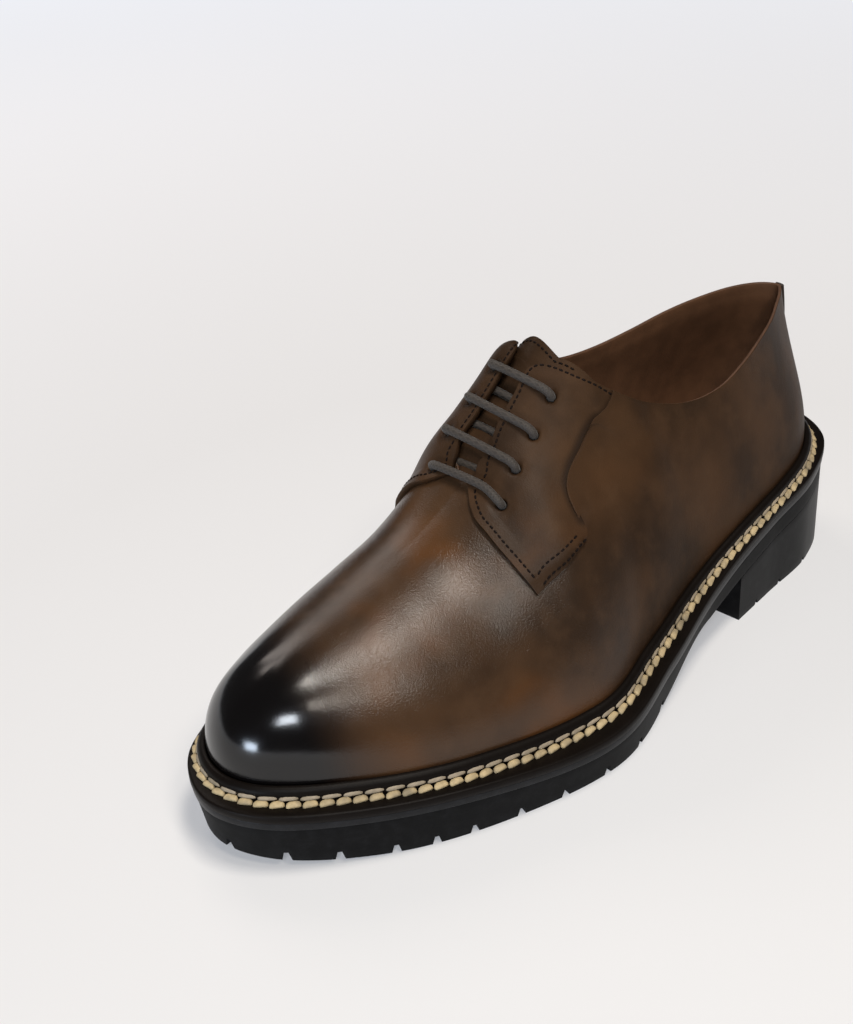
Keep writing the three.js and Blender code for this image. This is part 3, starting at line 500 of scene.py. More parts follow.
def add_stitch(bm, centre, frame_axes, size, slant=0.0, bend=0.0):
    """One stitch: a plump, blunt-ended strand, turned by a slant and bent sideways."""
    along, side, normal = frame_axes
    turn = np.radians(slant)
    forward = along * np.cos(turn) + side * np.sin(turn)
    across = np.cross(normal, forward)
    made = bmesh.ops.create_icosphere(bm, subdivisions=2, radius=1)["verts"]
    ball = np.array([v.co for v in made])
    blunt = np.sign(ball) * np.abs(ball) ** STITCH_SQUARE * np.array(size) * HALF
    curve = bend * (1 - ball[:, :1] ** 2)
    spots = centre + blunt[:, :1] * forward + (blunt[:, 1:2] + curve) * across + blunt[:, 2:] * normal
    for vert, spot in zip(made, to_row(spots)):
        vert.co = spot


def stitch_line(bm, points, normals, pitch, size, slant=0.0, bend=0.0):
    """A row of stitches at an even pitch along a dense line of points."""
    steps = np.linalg.norm(np.diff(points, axis=0), axis=1)
    lengths = np.concatenate([[0], np.cumsum(steps)])
    count = max(int(round(lengths[-1] / pitch)), 1)
    at = (np.arange(count) + HALF) * lengths[-1] / count

    def pick(values, x):
        return np.stack([np.interp(x, lengths, values[:, i]) for i in range(3)], axis=-1)

    ahead = pick(points, at + pitch * HALF) - pick(points, at - pitch * HALF)
    for centre, along, normal in zip(pick(points, at), ahead, pick(normals, at)):
        along = along / np.linalg.norm(along)
        normal = normal - along * normal.dot(along)
        normal /= np.linalg.norm(normal)
        add_stitch(bm, centre, (along, np.cross(normal, along), normal), size, slant, bend)


def swept_tube(points, radius, sides, steps):
    """A round tube through points, closed at both ends, with a frame that doesn't twist."""
    dense = smooth_path(points, steps)
    tangents = np.gradient(dense, axis=0)
    tangents /= np.linalg.norm(tangents, axis=1, keepdims=True)
    side = np.cross(tangents[0], UP)
    side /= np.linalg.norm(side)
    sides_at = []
    for tangent in tangents:
        side = side - tangent * side.dot(tangent)
        side /= np.linalg.norm(side)
        sides_at.append(side)
    sides_at = np.array(sides_at)
    lifts = np.cross(tangents, sides_at)

    def place(a, b):
        k = np.clip(np.rint(a * steps).astype(int), 0, steps)
        angle = 2 * np.pi * b
        ring = sides_at[k] * np.cos(angle)[:, None] + lifts[k] * np.sin(angle)[:, None]
        return dense[k] + ring * radius

    bm = shaped_grid(bmesh.new(), steps, sides, place)
    total = np.linalg.norm(np.diff(dense, axis=0), axis=1).sum()
    uv = bm.loops.layers.uv.new("UVMap")
    bm.verts.index_update()
    for face in bm.faces:
        for corner in face.loops:
            k = corner.vert.index
            corner[uv].uv = ((k % (steps + 1)) / steps * total, (k // (steps + 1)) / sides)
    merge_seams(bm)
    bmesh.ops.holes_fill(bm, edges=border_edges(bm), sides=sides + 1)
    bmesh.ops.recalc_face_normals(bm, faces=bm.faces)
    return bm


def smooth_path(points, steps):
    """Catmull-Rom curve through points, at even parameters."""
    points = np.asarray(points, dtype=float)
    ends = np.vstack([2 * points[0] - points[1], points, 2 * points[-1] - points[-2]])
    t = np.linspace(0, len(points) - 1 - TINY, steps + 1)
    k = t.astype(int)
    f = (t - k)[:, None]
    tangent = (ends[2:] - ends[:-2]) * HALF
    return hermite(points[k], tangent[k], points[k + 1], tangent[k + 1], f)


# Materials

SRGB_KNEE = 0.04045
MIX_FIRST = 6
MIX_SECOND = 7
MIX_RESULT = 2


def linear(code):
    """sRGB hex code as a linear colour."""
    parts = [int(code[i:i + 2], 16) / 255 for i in (1, 3, 5)]
    return tuple(c / 12.92 if c <= SRGB_KNEE else ((c + 0.055) / 1.055) ** 2.4 for c in parts) + (1.0,)


def darkened(colour, share):
    return tuple(c * share for c in colour[:3]) + (1.0,)


def add_node(tree, kind, settings=None, links=None, out=0):
    """Adds a node, sets its sockets or properties, links its inputs and gives one of its outputs."""
    made = tree.nodes.new("ShaderNode" + kind)
    for key, value in (settings or {}).items():
        if isinstance(key, int) or key in made.inputs:
            made.inputs[key].default_value = value
        else:
            setattr(made, key, value)
    for key, source in (links or {}).items():
        tree.links.new(source, made.inputs[key])
    return made.outputs[out]


def new_material(name, constants):
    """A Principled material with its constants on the shader's own sockets, and its node adder."""
    material = bpy.data.materials.new(name)
    material.use_nodes = True
    shader = material.node_tree.nodes["Principled BSDF"]
    for key, value in constants.items():
        shader.inputs[key].default_value = value
    return material, partial(add_node, material.node_tree)


def finish_material(material, sockets, bumps=()):
    """Links sockets of the shader. Each bump is a height, its reach in mm and its strength."""
    tree = material.node_tree
    shader = tree.nodes["Principled BSDF"]
    below = {}
    for height, reach, strength in bumps:
        settings = {"Strength": strength, "Distance": reach * MM}
        below = {"Normal": add_node(tree, "Bump", settings, {"Height": height, **below})}
    for key, source in {**sockets, **below}.items():
        tree.links.new(source, shader.inputs[key])
    return material


def pattern(size, detail=3.0, roughness=0.5):
    """Settings of a noise whose features are about this size in millimetres."""
    return {"Scale": 1 / (size * MM), "Detail": detail, "Roughness": roughness}


def ramp(low, high, top=1.0):
    """Settings that map a range to 0 to top, smoothly and clamped."""
    return {"interpolation_type": "SMOOTHSTEP", "From Min": low, "From Max": high, "To Max": top}


def blend(first=None, second=None):
    """Settings of a mix of colours, of which either may be fixed."""
    fixed = {key: value for key, value in ((MIX_FIRST, first), (MIX_SECOND, second)) if value}
    return {"data_type": "RGBA", **fixed}


def patina_calf(name, look):
    """Calf leather, vegetable tanned, hand dyed with stain and wax polished: mottled brown with a satin face,
    burnished black and glassy over the toe, with fine pores that break the highlights into specks; the
    same black paints shade at the feather, beside the facings' rear seams and in their lace holes."""
    material, add = new_material(name, {"IOR": 1.5})
    place = {"Vector": add("TexCoord", out="Object")}
    burnish, warmth, polish = (
        add("Attribute", {"attribute_name": key}, out="Fac") for key in ("burnish", "warmth", "polish"))
    # Clouds of stain 40 mm wide, marks of 12 mm over them and warm patches of 34 mm
    broad = add("TexNoise", pattern(40, 3.0, 0.55), place)
    fine = add("TexNoise", pattern(12, 4.0, 0.6), place)
    patches = add("TexNoise", pattern(34, 2.0), {"Vector": add("Mapping", {"Scale": (1, 0.8, 1)}, place)})
    colour = add("Mix", blend(look.brown_dark, look.brown),
                 {0: add("MapRange", ramp(0.34, 0.66), {"Value": broad})}, MIX_RESULT)
    warm = add("MapRange", ramp(0.5, 0.72, 0.75), {"Value": patches})
    warm = add("Math", {"operation": "MULTIPLY"}, {0: warm, 1: warmth})
    colour = add("Mix", blend(second=look.brown_warm), {0: warm, MIX_FIRST: colour}, MIX_RESULT)
    marks = add("MapRange", ramp(0.45, 0.75, 0.3), {"Value": fine})
    colour = add("Mix", blend(second=look.brown_light), {0: marks, MIX_FIRST: colour}, MIX_RESULT)
    # The burnishing and the painted shade wander with the clouds
    wander = add("Math", {"operation": "MULTIPLY_ADD", 1: 0.3, 2: -0.15}, {0: broad})
    shade = add("Math", {"operation": "ADD", "use_clamp": True}, {0: burnish, 1: wander})
    dark = add("MapRange", ramp(0.08, 0.9), {"Value": shade})
    colour = add("Mix", blend(second=look.black), {0: dark, MIX_FIRST: colour}, MIX_RESULT)
    # Polish and wax raise the shine and smooth the face
    glassy = add("Math", {"operation": "MULTIPLY"}, {0: dark, 1: polish})
    shine = add("MapRange", {"To Min": look.satin, "To Max": look.shine}, {"Value": polish})
    shine = add("Math", {"operation": "MULTIPLY_ADD", 1: look.wax}, {0: glassy, 2: shine})
    rough = add("MapRange", {"To Min": look.gloss, "To Max": look.gloss + 0.1}, {"Value": fine})
    rough = add("Math", {"operation": "MULTIPLY_ADD", 1: -0.06}, {0: glassy, 2: rough})
    dull = add("MapRange", {"To Min": 0.2, "To Max": 0.0}, {"Value": polish})
    rough = add("Math", {"operation": "ADD"}, {0: rough, 1: dull})
    # Slow swells of 10 mm, pores 0.5 mm apart and a grain of 1.2 mm; wax fills the last two on the toe
    swell = add("TexNoise", pattern(10, 2.0), place)
    pores = add("TexNoise", pattern(0.5, 2.0, 0.6), place)
    grain = add("TexVoronoi", {"Scale": 1 / (1.2 * MM)}, place, "Distance")
    unfilled = add("MapRange", {"To Min": 1.0, "To Max": 0.1}, {"Value": dark})
    pores, grain = (
        add("Math", {"operation": "MULTIPLY"}, {0: height, 1: unfilled}) for height in (pores, grain))
    return finish_material(material, {"Base Color": colour, "Specular IOR Level": shine, "Roughness": rough},
                           [(swell, 0.4, 0.2), (pores, 0.12, 0.8), (grain, 0.04, 0.3)])


def plain_leather(name, colour, roughness, grain=0.9, shine=0.4):
    """Undyed or dyed leather with no polish: an even colour with small clouds and a soft grain."""
    material, add = new_material(name, {"Roughness": roughness, "IOR": 1.45, "Specular IOR Level": shine})
    place = {"Vector": add("TexCoord", out="Object")}
    clouds = add("MapRange", ramp(0.25, 0.75), {"Value": add("TexNoise", pattern(8), place)})
    tone = add("Mix", blend(darkened(colour, 0.72), colour), {0: clouds}, MIX_RESULT)
    height = add("TexNoise", pattern(grain, 3.0, 0.6), place)
    return finish_material(material, {"Base Color": tone}, [(height, 0.12, 0.5)])


def black_rubber(name, colour, roughness, shine):
    """Moulded vulcanised rubber: near black, with a slightly dusty, satin skin and a grit of 0.6 mm."""
    material, add = new_material(name, {"Roughness": roughness, "IOR": 1.5, "Specular IOR Level": shine})
    place = {"Vector": add("TexCoord", out="Object")}
    dust = add("MapRange", ramp(0.4, 0.8), {"Value": add("TexNoise", pattern(5, 4.0, 0.65), place)})
    lighter = tuple(c * 1.9 + 0.002 for c in colour[:3]) + (1.0,)
    tone = add("Mix", blend(colour, lighter), {0: dust}, MIX_RESULT)
    height = add("TexNoise", pattern(0.6, 2.0), place)
    return finish_material(material, {"Base Color": tone}, [(height, 0.08, 0.4)])


def waxed_thread(name, colour, aged, shine=0.3):
    """Linen thread, waxed and twisted: pale fibres, some stitches darkened by wax and handling."""
    material, add = new_material(name, {"Roughness": 0.6, "IOR": 1.45, "Specular IOR Level": shine})
    place = {"Vector": add("TexCoord", out="Object")}
    # Whole stitches differ at 8 mm, fibres at 1.6 mm
    clouds = add("MapRange", ramp(0.42, 0.7), {"Value": add("TexNoise", pattern(8, 2.0), place)})
    tone = add("Mix", blend(colour, aged), {0: clouds}, MIX_RESULT)
    fibres = add("MapRange", ramp(0.3, 0.8, 0.5), {"Value": add("TexNoise", pattern(1.6), place)})
    tone = add("Mix", blend(second=darkened(colour, 0.5)), {0: fibres, MIX_FIRST: tone}, MIX_RESULT)
    height = add("TexNoise", pattern(0.8, 2.0), place)
    return finish_material(material, {"Base Color": tone}, [(height, 0.16, 0.6)])


def waxed_cord(name, colour):
    """Round waxed cotton lace: a fine braid of crossing strands, its pattern on the cord's own map, with
    painted shade in the hollows between the strands.
    """
    material, add = new_material(name, {"Roughness": 0.62, "IOR": 1.48, "Sheen Weight": 0.15})
    place = add("UVMap", {"uv_map": "UVMap"})
    strands = []
    for turn in (1, -1):
        # Strands 1.1 mm apart along the cord, six round it, one set each way
        spread = {"operation": "DOT_PRODUCT", 1: (0.9, 6.0 * turn, 0)}
        across = add("VectorMath", spread, {0: place}, "Value")
        strands.append(add("Math", {"operation": "PINGPONG", 1: 0.5}, {0: across}))
    both = add("Math", {"operation": "MAXIMUM"}, {0: strands[0], 1: strands[1]})
    # Painted shade: darker in the hollows between the strands, full colour on their crests
    crests = add("MapRange", ramp(0.2, 0.5), {"Value": both})
    tone = add("Mix", blend(darkened(colour, 0.6), colour), {0: crests}, MIX_RESULT)
    return finish_material(material, {"Base Color": tone}, [(both, 0.35, 0.6)])


# Where the stain is burnished, where shade is painted along the feather, and where the stain is warm and
# polished: each pair is the start and end of a fade, in millimetres along the shoe (y), across it (x) or
# up (z), or in levels of the last
TOE_BURNISH = (-133, -88)
TOE_SLANT = 0.25
TOE_MIDDLE = -11
FEATHER_FADE = (0.0, 0.14)
FEATHER_SHADE = 0.3
HEEL_FADE = (105, 150)
HEEL_BURNISH = 0.4
WARM_LEAST = 0.12
WARM_FROM = (-115, -90)
WARM_TO = (-55, -10)
WARM_TOP = (85, 100)
POLISH_FADE = (-55, 5)


def burnish_and_shade_at(points, level):
    """How far the calf is darkened towards black: burnished over the toe and up the heel, and painted shade
    at the feather where the upper meets the welt.
    """
    x, y = points[:, 0] / MM, points[:, 1] / MM
    toe = 1 - smooth(*TOE_BURNISH, y + TOE_SLANT * (x - TOE_MIDDLE))
    # Painted shade along the feather, where the upper meets the welt
    foot = FEATHER_SHADE * (1 - smooth(*FEATHER_FADE, level))
    return np.clip(toe + foot + HEEL_BURNISH * smooth(*HEEL_FADE, y), 0, 1)


def store_burnish_and_shade(piece, values, polish=1.0):
    """Stores the burnishing with the painted shade, the warmth of the stain and the polish at each point."""
    points = np.empty(len(piece.data.vertices) * 3)
    piece.data.vertices.foreach_get("co", points)
    _, y, z = points.reshape(-1, 3).T / MM
    vamp = smooth(*WARM_FROM, y) * (1 - smooth(*WARM_TO, y)) * (1 - smooth(*WARM_TOP, z))
    columns = {"burnish": values, "warmth": WARM_LEAST + (1 - WARM_LEAST) * vamp,
               "polish": polish * (1 - smooth(*POLISH_FADE, y))}
    for name, column in columns.items():
        layer = piece.data.attributes.new(name, "FLOAT", "POINT")
        layer.data.foreach_set("value", np.asarray(column, dtype=np.float32))


# The upper

SPREAD_A = (0, 0.125, 0.375, 0.5, 0.625, 0.875, 1)
SPREAD_U = (0, 0.44, 0.63, 1, 1.37, 1.56, 2)
LEVEL_B = (0, 0.25, 1)
LEVEL_V = (0, 0.5, 1)
UPPER_COLUMNS = 472
UPPER_ROWS = 80
LINING_ROWS = 20
RIM_BEVEL = 0.42
LIP_FADE = (0.56, 0.66)
RIM_SKIVE = 1.0
RIM_FROM = 0.9
SIDES = {False: "outer", True: "inner"}


def side_u(share, inner):
    return LOOP - share if inner else share


def make_upper(look):
    def spread(a, b):
        return np.interp(a, SPREAD_A, SPREAD_U), np.interp(b, LEVEL_B, LEVEL_V)

    def outside(a, b):
        u, v = spread(a, b)
        return shoe_surface(u, v, np.zeros_like(u))

    def inside(a, b):
        u, v = spread(a, b)
        return shoe_surface(u, v, RIM_SKIVE * smooth(RIM_FROM, 1, v) - UPPER_WALL)

    bm = shaped_grid(bmesh.new(), UPPER_COLUMNS, UPPER_ROWS, outside)
    shaped_grid(bm, UPPER_COLUMNS, LINING_ROWS, inside, 1.0)
    merge_seams(bm)
    level, coat = (bm.verts.layers.float[key] for key in ("level", "coat"))
    borders = border_edges(bm)
    rim = [e for e in borders if min(v[level] for v in e.verts) > HALF]
    foot = [e for e in borders if max(v[level] for v in e.verts) < HALF]
    for loops in (rim, foot):
        bmesh.ops.bridge_loops(bm, edges=loops)
    bmesh.ops.recalc_face_normals(bm, faces=bm.faces)
    # The lining and the foot's wall take the second material, the collar's cut edge the third
    for face in bm.faces:
        coats = [v[coat] for v in face.verts]
        if min(coats) > HALF or max(coats) > HALF and max(v[level] for v in face.verts) < HALF:
            face.material_index = 1
        elif max(coats) > HALF:
            face.material_index = 2
    bmesh.ops.bevel(bm, geom=[e for e in rim if e.is_valid], offset=RIM_BEVEL * MM, segments=2,
                    profile=BEVEL_PROFILE, affect="EDGES", material=NO_MATERIAL, clamp_overlap=True)
    points = np.array([v.co for v in bm.verts])
    levels = np.interp([v[level] for v in bm.verts], LEVEL_B, LEVEL_V)
    piece = add_piece("upper_leather", bm, [look.calf, look.lining, look.raw_edge], ("upper",))
    store_burnish_and_shade(piece, burnish_and_shade_at(points, levels))


# The quarter's leather, lapped over the rear edge of a facing: its edge follows the facing's rear
# edge, and its rear line, in shares and levels, is where it has sunk into the upper
LAP_REAR = table("share level", [
    (0.398, 1.0), (0.41, 0.93), (0.423, 0.865), (0.438, 0.805), (0.455, 0.758), (0.473, 0.722),
    (0.489, 0.695), (0.502, 0.67), (0.511, 0.64), (0.517, 0.607), (0.522, 0.577), (0.528, 0.54),
])
LAP_FORWARD = 0.0035
LAP_HEIGHT = 2.35
LAP_SUNK = 0.05
LAP_UNDER = (-0.35, -0.2)
LAP_GRID = (26, 110)
LAP_LEVEL = 0.7


def make_quarter_lap(look, inner):
    def face(a, b, height):
        """The lap's face, where height(fade) is from the last and fade dies out at the lap's foot."""
        row = b * FACING_ROWS[-1]
        seam = [curve_at(FACING_ROWS, FACING[key], row) for key in ("rear_share", "rear_level")]
        rear = [curve_at(FACING_ROWS, LAP_REAR[key], row) for key in ("share", "level")]
        fade = smooth(*LIP_FADE, seam[1])
        seam[0] = seam[0] + LAP_FORWARD * fade
        share, level = (f + (r - f) * a for f, r in zip(seam, rear))
        return shoe_surface(side_u(share, inner), level, height(fade) - LAP_SUNK)

    def top(a, b):
        return face(a, b, lambda fade: (LAP_HEIGHT + LAP_SUNK) * (1 - a) ** 2 * fade)

    def bottom(a, b):
        return face(a, b, lambda fade: LAP_UNDER[0] + LAP_UNDER[1] * a)

    bm = slab(*LAP_GRID, top, bottom, rounding=0.3, sides=1)
    points = np.array([v.co for v in bm.verts])
    piece = add_piece("quarter_lap_" + SIDES[inner], bm, [look.calf])
    store_burnish_and_shade(piece, burnish_and_shade_at(points, np.full(len(points), LAP_LEVEL)))


# Facings, tongue and back strip

FACING_GRID = (84, 120)
FACING_CLEAR = 0.45
FACING_UNDER = 0.135
FACING_THICKNESS = 1.6
FACING_TUCK = 0.55
FACING_BOW = 0.108
BOW_FROM = 0.8
TIP_ROUNDING = 0.14
TIP_LENGTH = 0.1
TIP_SKIVE = 1.3
FACING_SKIVE = 0.7
# Shares of a facing over which it is tucked, skived at its foot and skived at its tip (down and back)
TUCK_SPAN = (0, 0.4)
FOOT_SPAN = (0, 0.05)
TIP_DOWN = (0.02, 0.16)
TIP_BACK = (0.05, 0.35)
# Painted shade on a facing, beside the quarter's lapped edge along its rear seam (strength, fade in mm from
# the seam, share of the way down) and dark in its dented lace holes
SEAM_SHADE = 0.6
SEAM_FADE = (1, 5)
SEAM_END = 0.85
HOLE_SHADE = 0.9
FACING_POLISH = 0.35
HOLE_RADIUS = 1.85
HOLE_DEPTH = 1.5
HOLE_EDGE = 0.45
HOLE_DISH = 0.3


def facing_uv(a, b, inner):
    """Share and level at a (front to rear) and b (collar to foot) of a facing."""
    row = b * FACING_ROWS[-1]
    front = [curve_at(FACING_ROWS, FACING[key], row) for key in ("front_share", "front_level")]
    rear = [curve_at(FACING_ROWS, FACING[key], row) for key in ("rear_share", "rear_level")]
    # The inner facing's front corner is rounded off
    rounding = inner * TIP_ROUNDING * (1 - np.sqrt(1 - np.clip(1 - b / TIP_LENGTH, 0, 1) ** 2))
    front = [f + (r - f) * rounding for f, r in zip(front, rear)]
    share, level = (f + (r - f) * a for f, r in zip(front, rear))
    return side_u(share, inner), level + FACING_BOW * a * a * (1 - a) * smooth(BOW_FROM, 1, b)


def hole_uv(i, inner):
    share, level = (HOLES[SIDES[inner] + key][i] for key in ("_share", "_level"))
    return side_u(share, inner), level


def hole_edge(away):
    """1 inside a lace hole and 0 outside, by the distance from its middle."""
    return 1 - smooth(HOLE_RADIUS - HOLE_EDGE, HOLE_RADIUS + HOLE_EDGE, away)


def facing_height(a, b, inner):
    """Height of a facing's face: tucked under the quarter behind, skived at the foot, dented at the holes."""
    u, v = facing_uv(a, b, inner)
    spots = last_point(u, v)
    height = np.full_like(a, FACING_CLEAR + FACING_THICKNESS)
    height -= FACING_TUCK * (1 - smooth(*TUCK_SPAN, 1 - a)) * smooth(*LIP_FADE, v)
    height -= FACING_SKIVE * (1 - smooth(*FOOT_SPAN, 1 - b))
    height -= inner * TIP_SKIVE * (1 - smooth(*TIP_DOWN, b)) * (1 - smooth(*TIP_BACK, a))
    for i in range(HOLE_COUNT):
        away = np.linalg.norm(spots - last_point(*hole_uv(i, inner)), axis=-1)
        height -= HOLE_DEPTH * hole_edge(away)
        height -= HOLE_DISH * (1 - smooth(HOLE_RADIUS, 3 * HOLE_RADIUS, away))
    return height


def make_facing(look, inner):
    def face(a, b, height):
        return shoe_surface(*facing_uv(a, b, inner), height)

    bm = slab(*FACING_GRID, lambda a, b: face(a, b, facing_height(a, b, inner)),
              lambda a, b: face(a, b, FACING_UNDER), rounding=0.42, sides=1)
    points = np.array([v.co for v in bm.verts])
    name = "facing_" + SIDES[inner]
    piece = add_piece(name + "_leather", bm, [look.facing_calf], (name,))

    def nearest(spots):
        return np.linalg.norm(points[:, None] - to_row(spots), axis=2).min(axis=1) / MM

    holes = nearest(np.array([last_point(*hole_uv(i, inner)) for i in range(HOLE_COUNT)]))
    down = np.linspace(0, SEAM_END, 60)
    seam = nearest(last_point(*facing_uv(np.ones_like(down), down, inner)))
    # Painted shade: dark in the dented lace holes and beside the quarter's lapped edge along the rear seam
    stain = np.maximum(HOLE_SHADE * hole_edge(holes), SEAM_SHADE * (1 - smooth(*SEAM_FADE, seam)))
    store_burnish_and_shade(piece, stain, FACING_POLISH)


def facing_line(start, end, inner, count=160):
    """A line on a facing from one place (down, back) to another, set in from its front edge, and its
    outward directions, for stitches."""
    b = np.linspace(start[0], end[0], count)
    front, rear = (last_point(*facing_uv(np.full_like(b, a), b, inner)) for a in (0, 1))
    a = np.linspace(start[1], end[1], count) + STITCH_INSET / np.linalg.norm(front - rear, axis=1)
    u, v = facing_uv(a, b, inner)
    return shoe_surface(u, v, facing_height(a, b, inner)), last_normal(u, v)


def level_line(ends, inner, count=80):
    """A line over a facing's foot between two places (share, level), and its outward directions."""
    t = np.linspace(0, 1, count)
    share, level = (first + (last - first) * t for first, last in zip(*ends))
    level = level + BAR_BOW * 4 * t * (1 - t)
    u = side_u(share, inner)
    return shoe_surface(u, level, BAR_HEIGHT), last_normal(u, level)


STITCH_SIZE = (1.55, 0.72, 0.6)
STITCH_INSET = 2.5
FACING_PITCH = 2.15
# Ends of the stitched rows as (down, back) on a facing: down its front, and along its head
FRONT_ROWS = {False: ((0.04, 0), (0.965, 0)), True: ((0.085, 0), (0.965, 0))}
HEAD_ROW = ((0.032, 0), (0.036, 0.86))
BAR_ROWS = (((0.6115, 0.54), (0.5625, 0.566)), ((0.6115, 0.574), (0.569, 0.601)))
BAR_BOW = 0.019
BAR_HEIGHT = 1.95


def make_facing_stitches(look):
    bm = bmesh.new()
    for inner in (False, True):
        rows = [facing_line(*ends, inner) for ends in (FRONT_ROWS[inner], HEAD_ROW)]
        for line in rows + [level_line(ends, inner) for ends in BAR_ROWS]:
            stitch_line(bm, *line, FACING_PITCH, STITCH_SIZE)
    add_piece("facing_stitches", bm, [look.dark_thread])


TONGUE_CROWN = 0.985
TONGUE_BRIDGE = 0.35
TONGUE_ROWS_END = 0.8
TONGUE_REACH = 10.0
TONGUE_DROP = 1.5
TONGUE_SWEEP = 0.036
TONGUE_EARS = 0.45
TONGUE_THICKNESS = 2.4
TONGUE_GRID = (90, 130)
WRINKLES = ((0.5855, 0.22), (0.5925, 0.34), (0.6005, 0.3), (0.574, 0.12), (0.556, 0.15))
WRINKLE_WIDTH = 0.0024
WRINKLE_BEND = 0.0035
WRINKLE_TURN = 2.4
WRINKLE_SHIFT = 300
CROWN_STEP = 0.02
SWEEP_FROM = 0.35
MIDDLE_FADE = (0.3, 0.75)
SLOPE_STEP = 0.1
TONGUE_SEAM = (0.22, 0.84)
TONGUE_SEAM_ROW = 0.955


def tongue_place(a, b, depth):
    """A point of the tongue: a across from the outer side, b from its root to its top."""
    rows = np.arange(len(TONGUE["share"]), dtype=float)
    row = np.clip(b / TONGUE_ROWS_END, 0, 1) * rows[-1]
    share, side_level, sink, rise = (
        curve_at(rows, TONGUE[key], row) for key in ("share", "side_level", "sink", "rise"))
    c = 1 - 2 * a
    inwards = -(UPPER_WALL + 2 * CLEAR + sink + depth)
    t = np.clip((1 - np.abs(c)) / (1 - TONGUE_BRIDGE), 0, 1)
    level = side_level + (TONGUE_CROWN - side_level) * t
    swept = share - TONGUE_SWEEP * (1 - t) * smooth(SWEEP_FROM, TONGUE_ROWS_END, b)
    arm = on_last(np.where(c > 0, swept, LOOP - swept), level, inwards)
    crowns, lower = (
        [on_last(u, np.full_like(share, TONGUE_CROWN - drop), inwards) for u in (share, LOOP - share)]
        for drop in (0, CROWN_STEP))
    gap = np.linalg.norm(crowns[1] - crowns[0], axis=-1, keepdims=True)
    pulls = [crown - low for crown, low in zip(crowns, lower)]
    pulls = [pull / np.linalg.norm(pull, axis=-1, keepdims=True) * gap for pull in pulls]
    s = np.clip((TONGUE_BRIDGE - c) / (2 * TONGUE_BRIDGE), 0, 1)[..., None]
    bridge = hermite(crowns[0], pulls[0], crowns[1], -pulls[1], s)
    point = np.where((np.abs(c) < TONGUE_BRIDGE)[..., None], bridge, arm)
    middle = 1 - smooth(*MIDDLE_FADE, np.abs(c))
    point[..., 2] += rise * middle
    for at, deep in WRINKLES:
        wander = at + WRINKLE_BEND * np.sin(WRINKLE_TURN * c + WRINKLE_SHIFT * at)
        point[..., 2] -= deep * middle * np.exp(-((share - wander) / WRINKLE_WIDTH) ** 2)
    return point, c


def make_tongue(look):
    near = np.array([TONGUE_ROWS_END - SLOPE_STEP, TONGUE_ROWS_END])
    spots, _ = tongue_place(np.full(2, HALF), near, 0.0)
    slope = (spots[1] - spots[0]) / np.linalg.norm(spots[1] - spots[0])

    def place(depth):
        def at(a, b):
            point, c = tongue_place(a, b, depth)
            beyond = np.clip((b - TONGUE_ROWS_END) / (1 - TONGUE_ROWS_END), 0, 1)
            point += slope * (TONGUE_REACH * beyond * (1 - TONGUE_EARS * c * c))[..., None]
            point[..., 2] -= TONGUE_DROP * beyond * c * c
            return point
        return at

    bm = slab(*TONGUE_GRID, place(0.0), place(TONGUE_THICKNESS), rounding=0.6)
    count = len(bm.verts)
    piece = add_piece("tongue_leather", bm, [look.facing_calf], ("tongue",))
    store_burnish_and_shade(piece, np.zeros(count), FACING_POLISH)
    stitches = bmesh.new()
    across = np.linspace(*TONGUE_SEAM, 120)
    line = place(0.0)(across, np.full_like(across, TONGUE_SEAM_ROW))
    normals = np.cross(np.gradient(line, axis=0), slope)
    normals *= np.sign(normals[:, 2:3])
    normals /= np.linalg.norm(normals, axis=1, keepdims=True)
    stitch_line(stitches, line, normals, FACING_PITCH, STITCH_SIZE)
    add_piece("tongue_stitches", stitches, [look.dark_thread])


STRIP_WIDTH = 0.024
STRIP_TAPER = 0.35
STRIP_TOP = 0.995
STRIP_FOOT = 0.74
STRIP_THICKNESS = 1.1
STRIP_UNDER = 0.02
STRIP_GRID = (12, 30)


def make_back_strip(look):
    def place(height):
        def at(a, b):
            level = STRIP_TOP + (STRIP_FOOT - STRIP_TOP) * b
            width = STRIP_WIDTH * (1 - STRIP_TAPER * b)
            return on_last(LOOP + (a - HALF) * width, level, height * np.ones_like(a))
        return at

    bm = slab(*STRIP_GRID, place(CLEAR + STRIP_THICKNESS), place(STRIP_UNDER), rounding=0.35, sides=1)
    add_piece("back_strip_leather", bm, [look.strip], ("back_strip",))


# The lace

LACE_STEPS = 72
LACE_SIDES = 14
LACE_LIFT = 2.0
LACE_ARCH = 1.02
# Steps of half a bar: share of the way to the arch, height, and 1 where the lace lies on the facing
BAR_STEPS = ((0, -2.4, 0), (0.005, -0.2, 0), (0.03, LACE_LIFT + 0.35, 0), (0.13, LACE_LIFT - 0.15, 1),
             (0.45, LACE_LIFT, 1), (1, LACE_LIFT, 1))
# Steps of half a run under the facings: share of the way, height, and 1 where it lies on the tongue
UNDER_STEPS = ((0, 0, 0), (0.12, -1, 0), (0.32, -UPPER_WALL - 2 * CLEAR, 1),
               (0.42, -UPPER_WALL - 2 * CLEAR, 1))


def join_tubes(paths, radius):
    """Several tubes as one mesh."""
    whole = bmesh.new()
    for path in paths:
        tube = swept_tube(path, radius, LACE_SIDES, LACE_STEPS)
        part = bpy.data.meshes.new("part")
        tube.to_mesh(part)
        tube.free()
        whole.from_mesh(part)
        bpy.data.meshes.remove(part)
    return whole


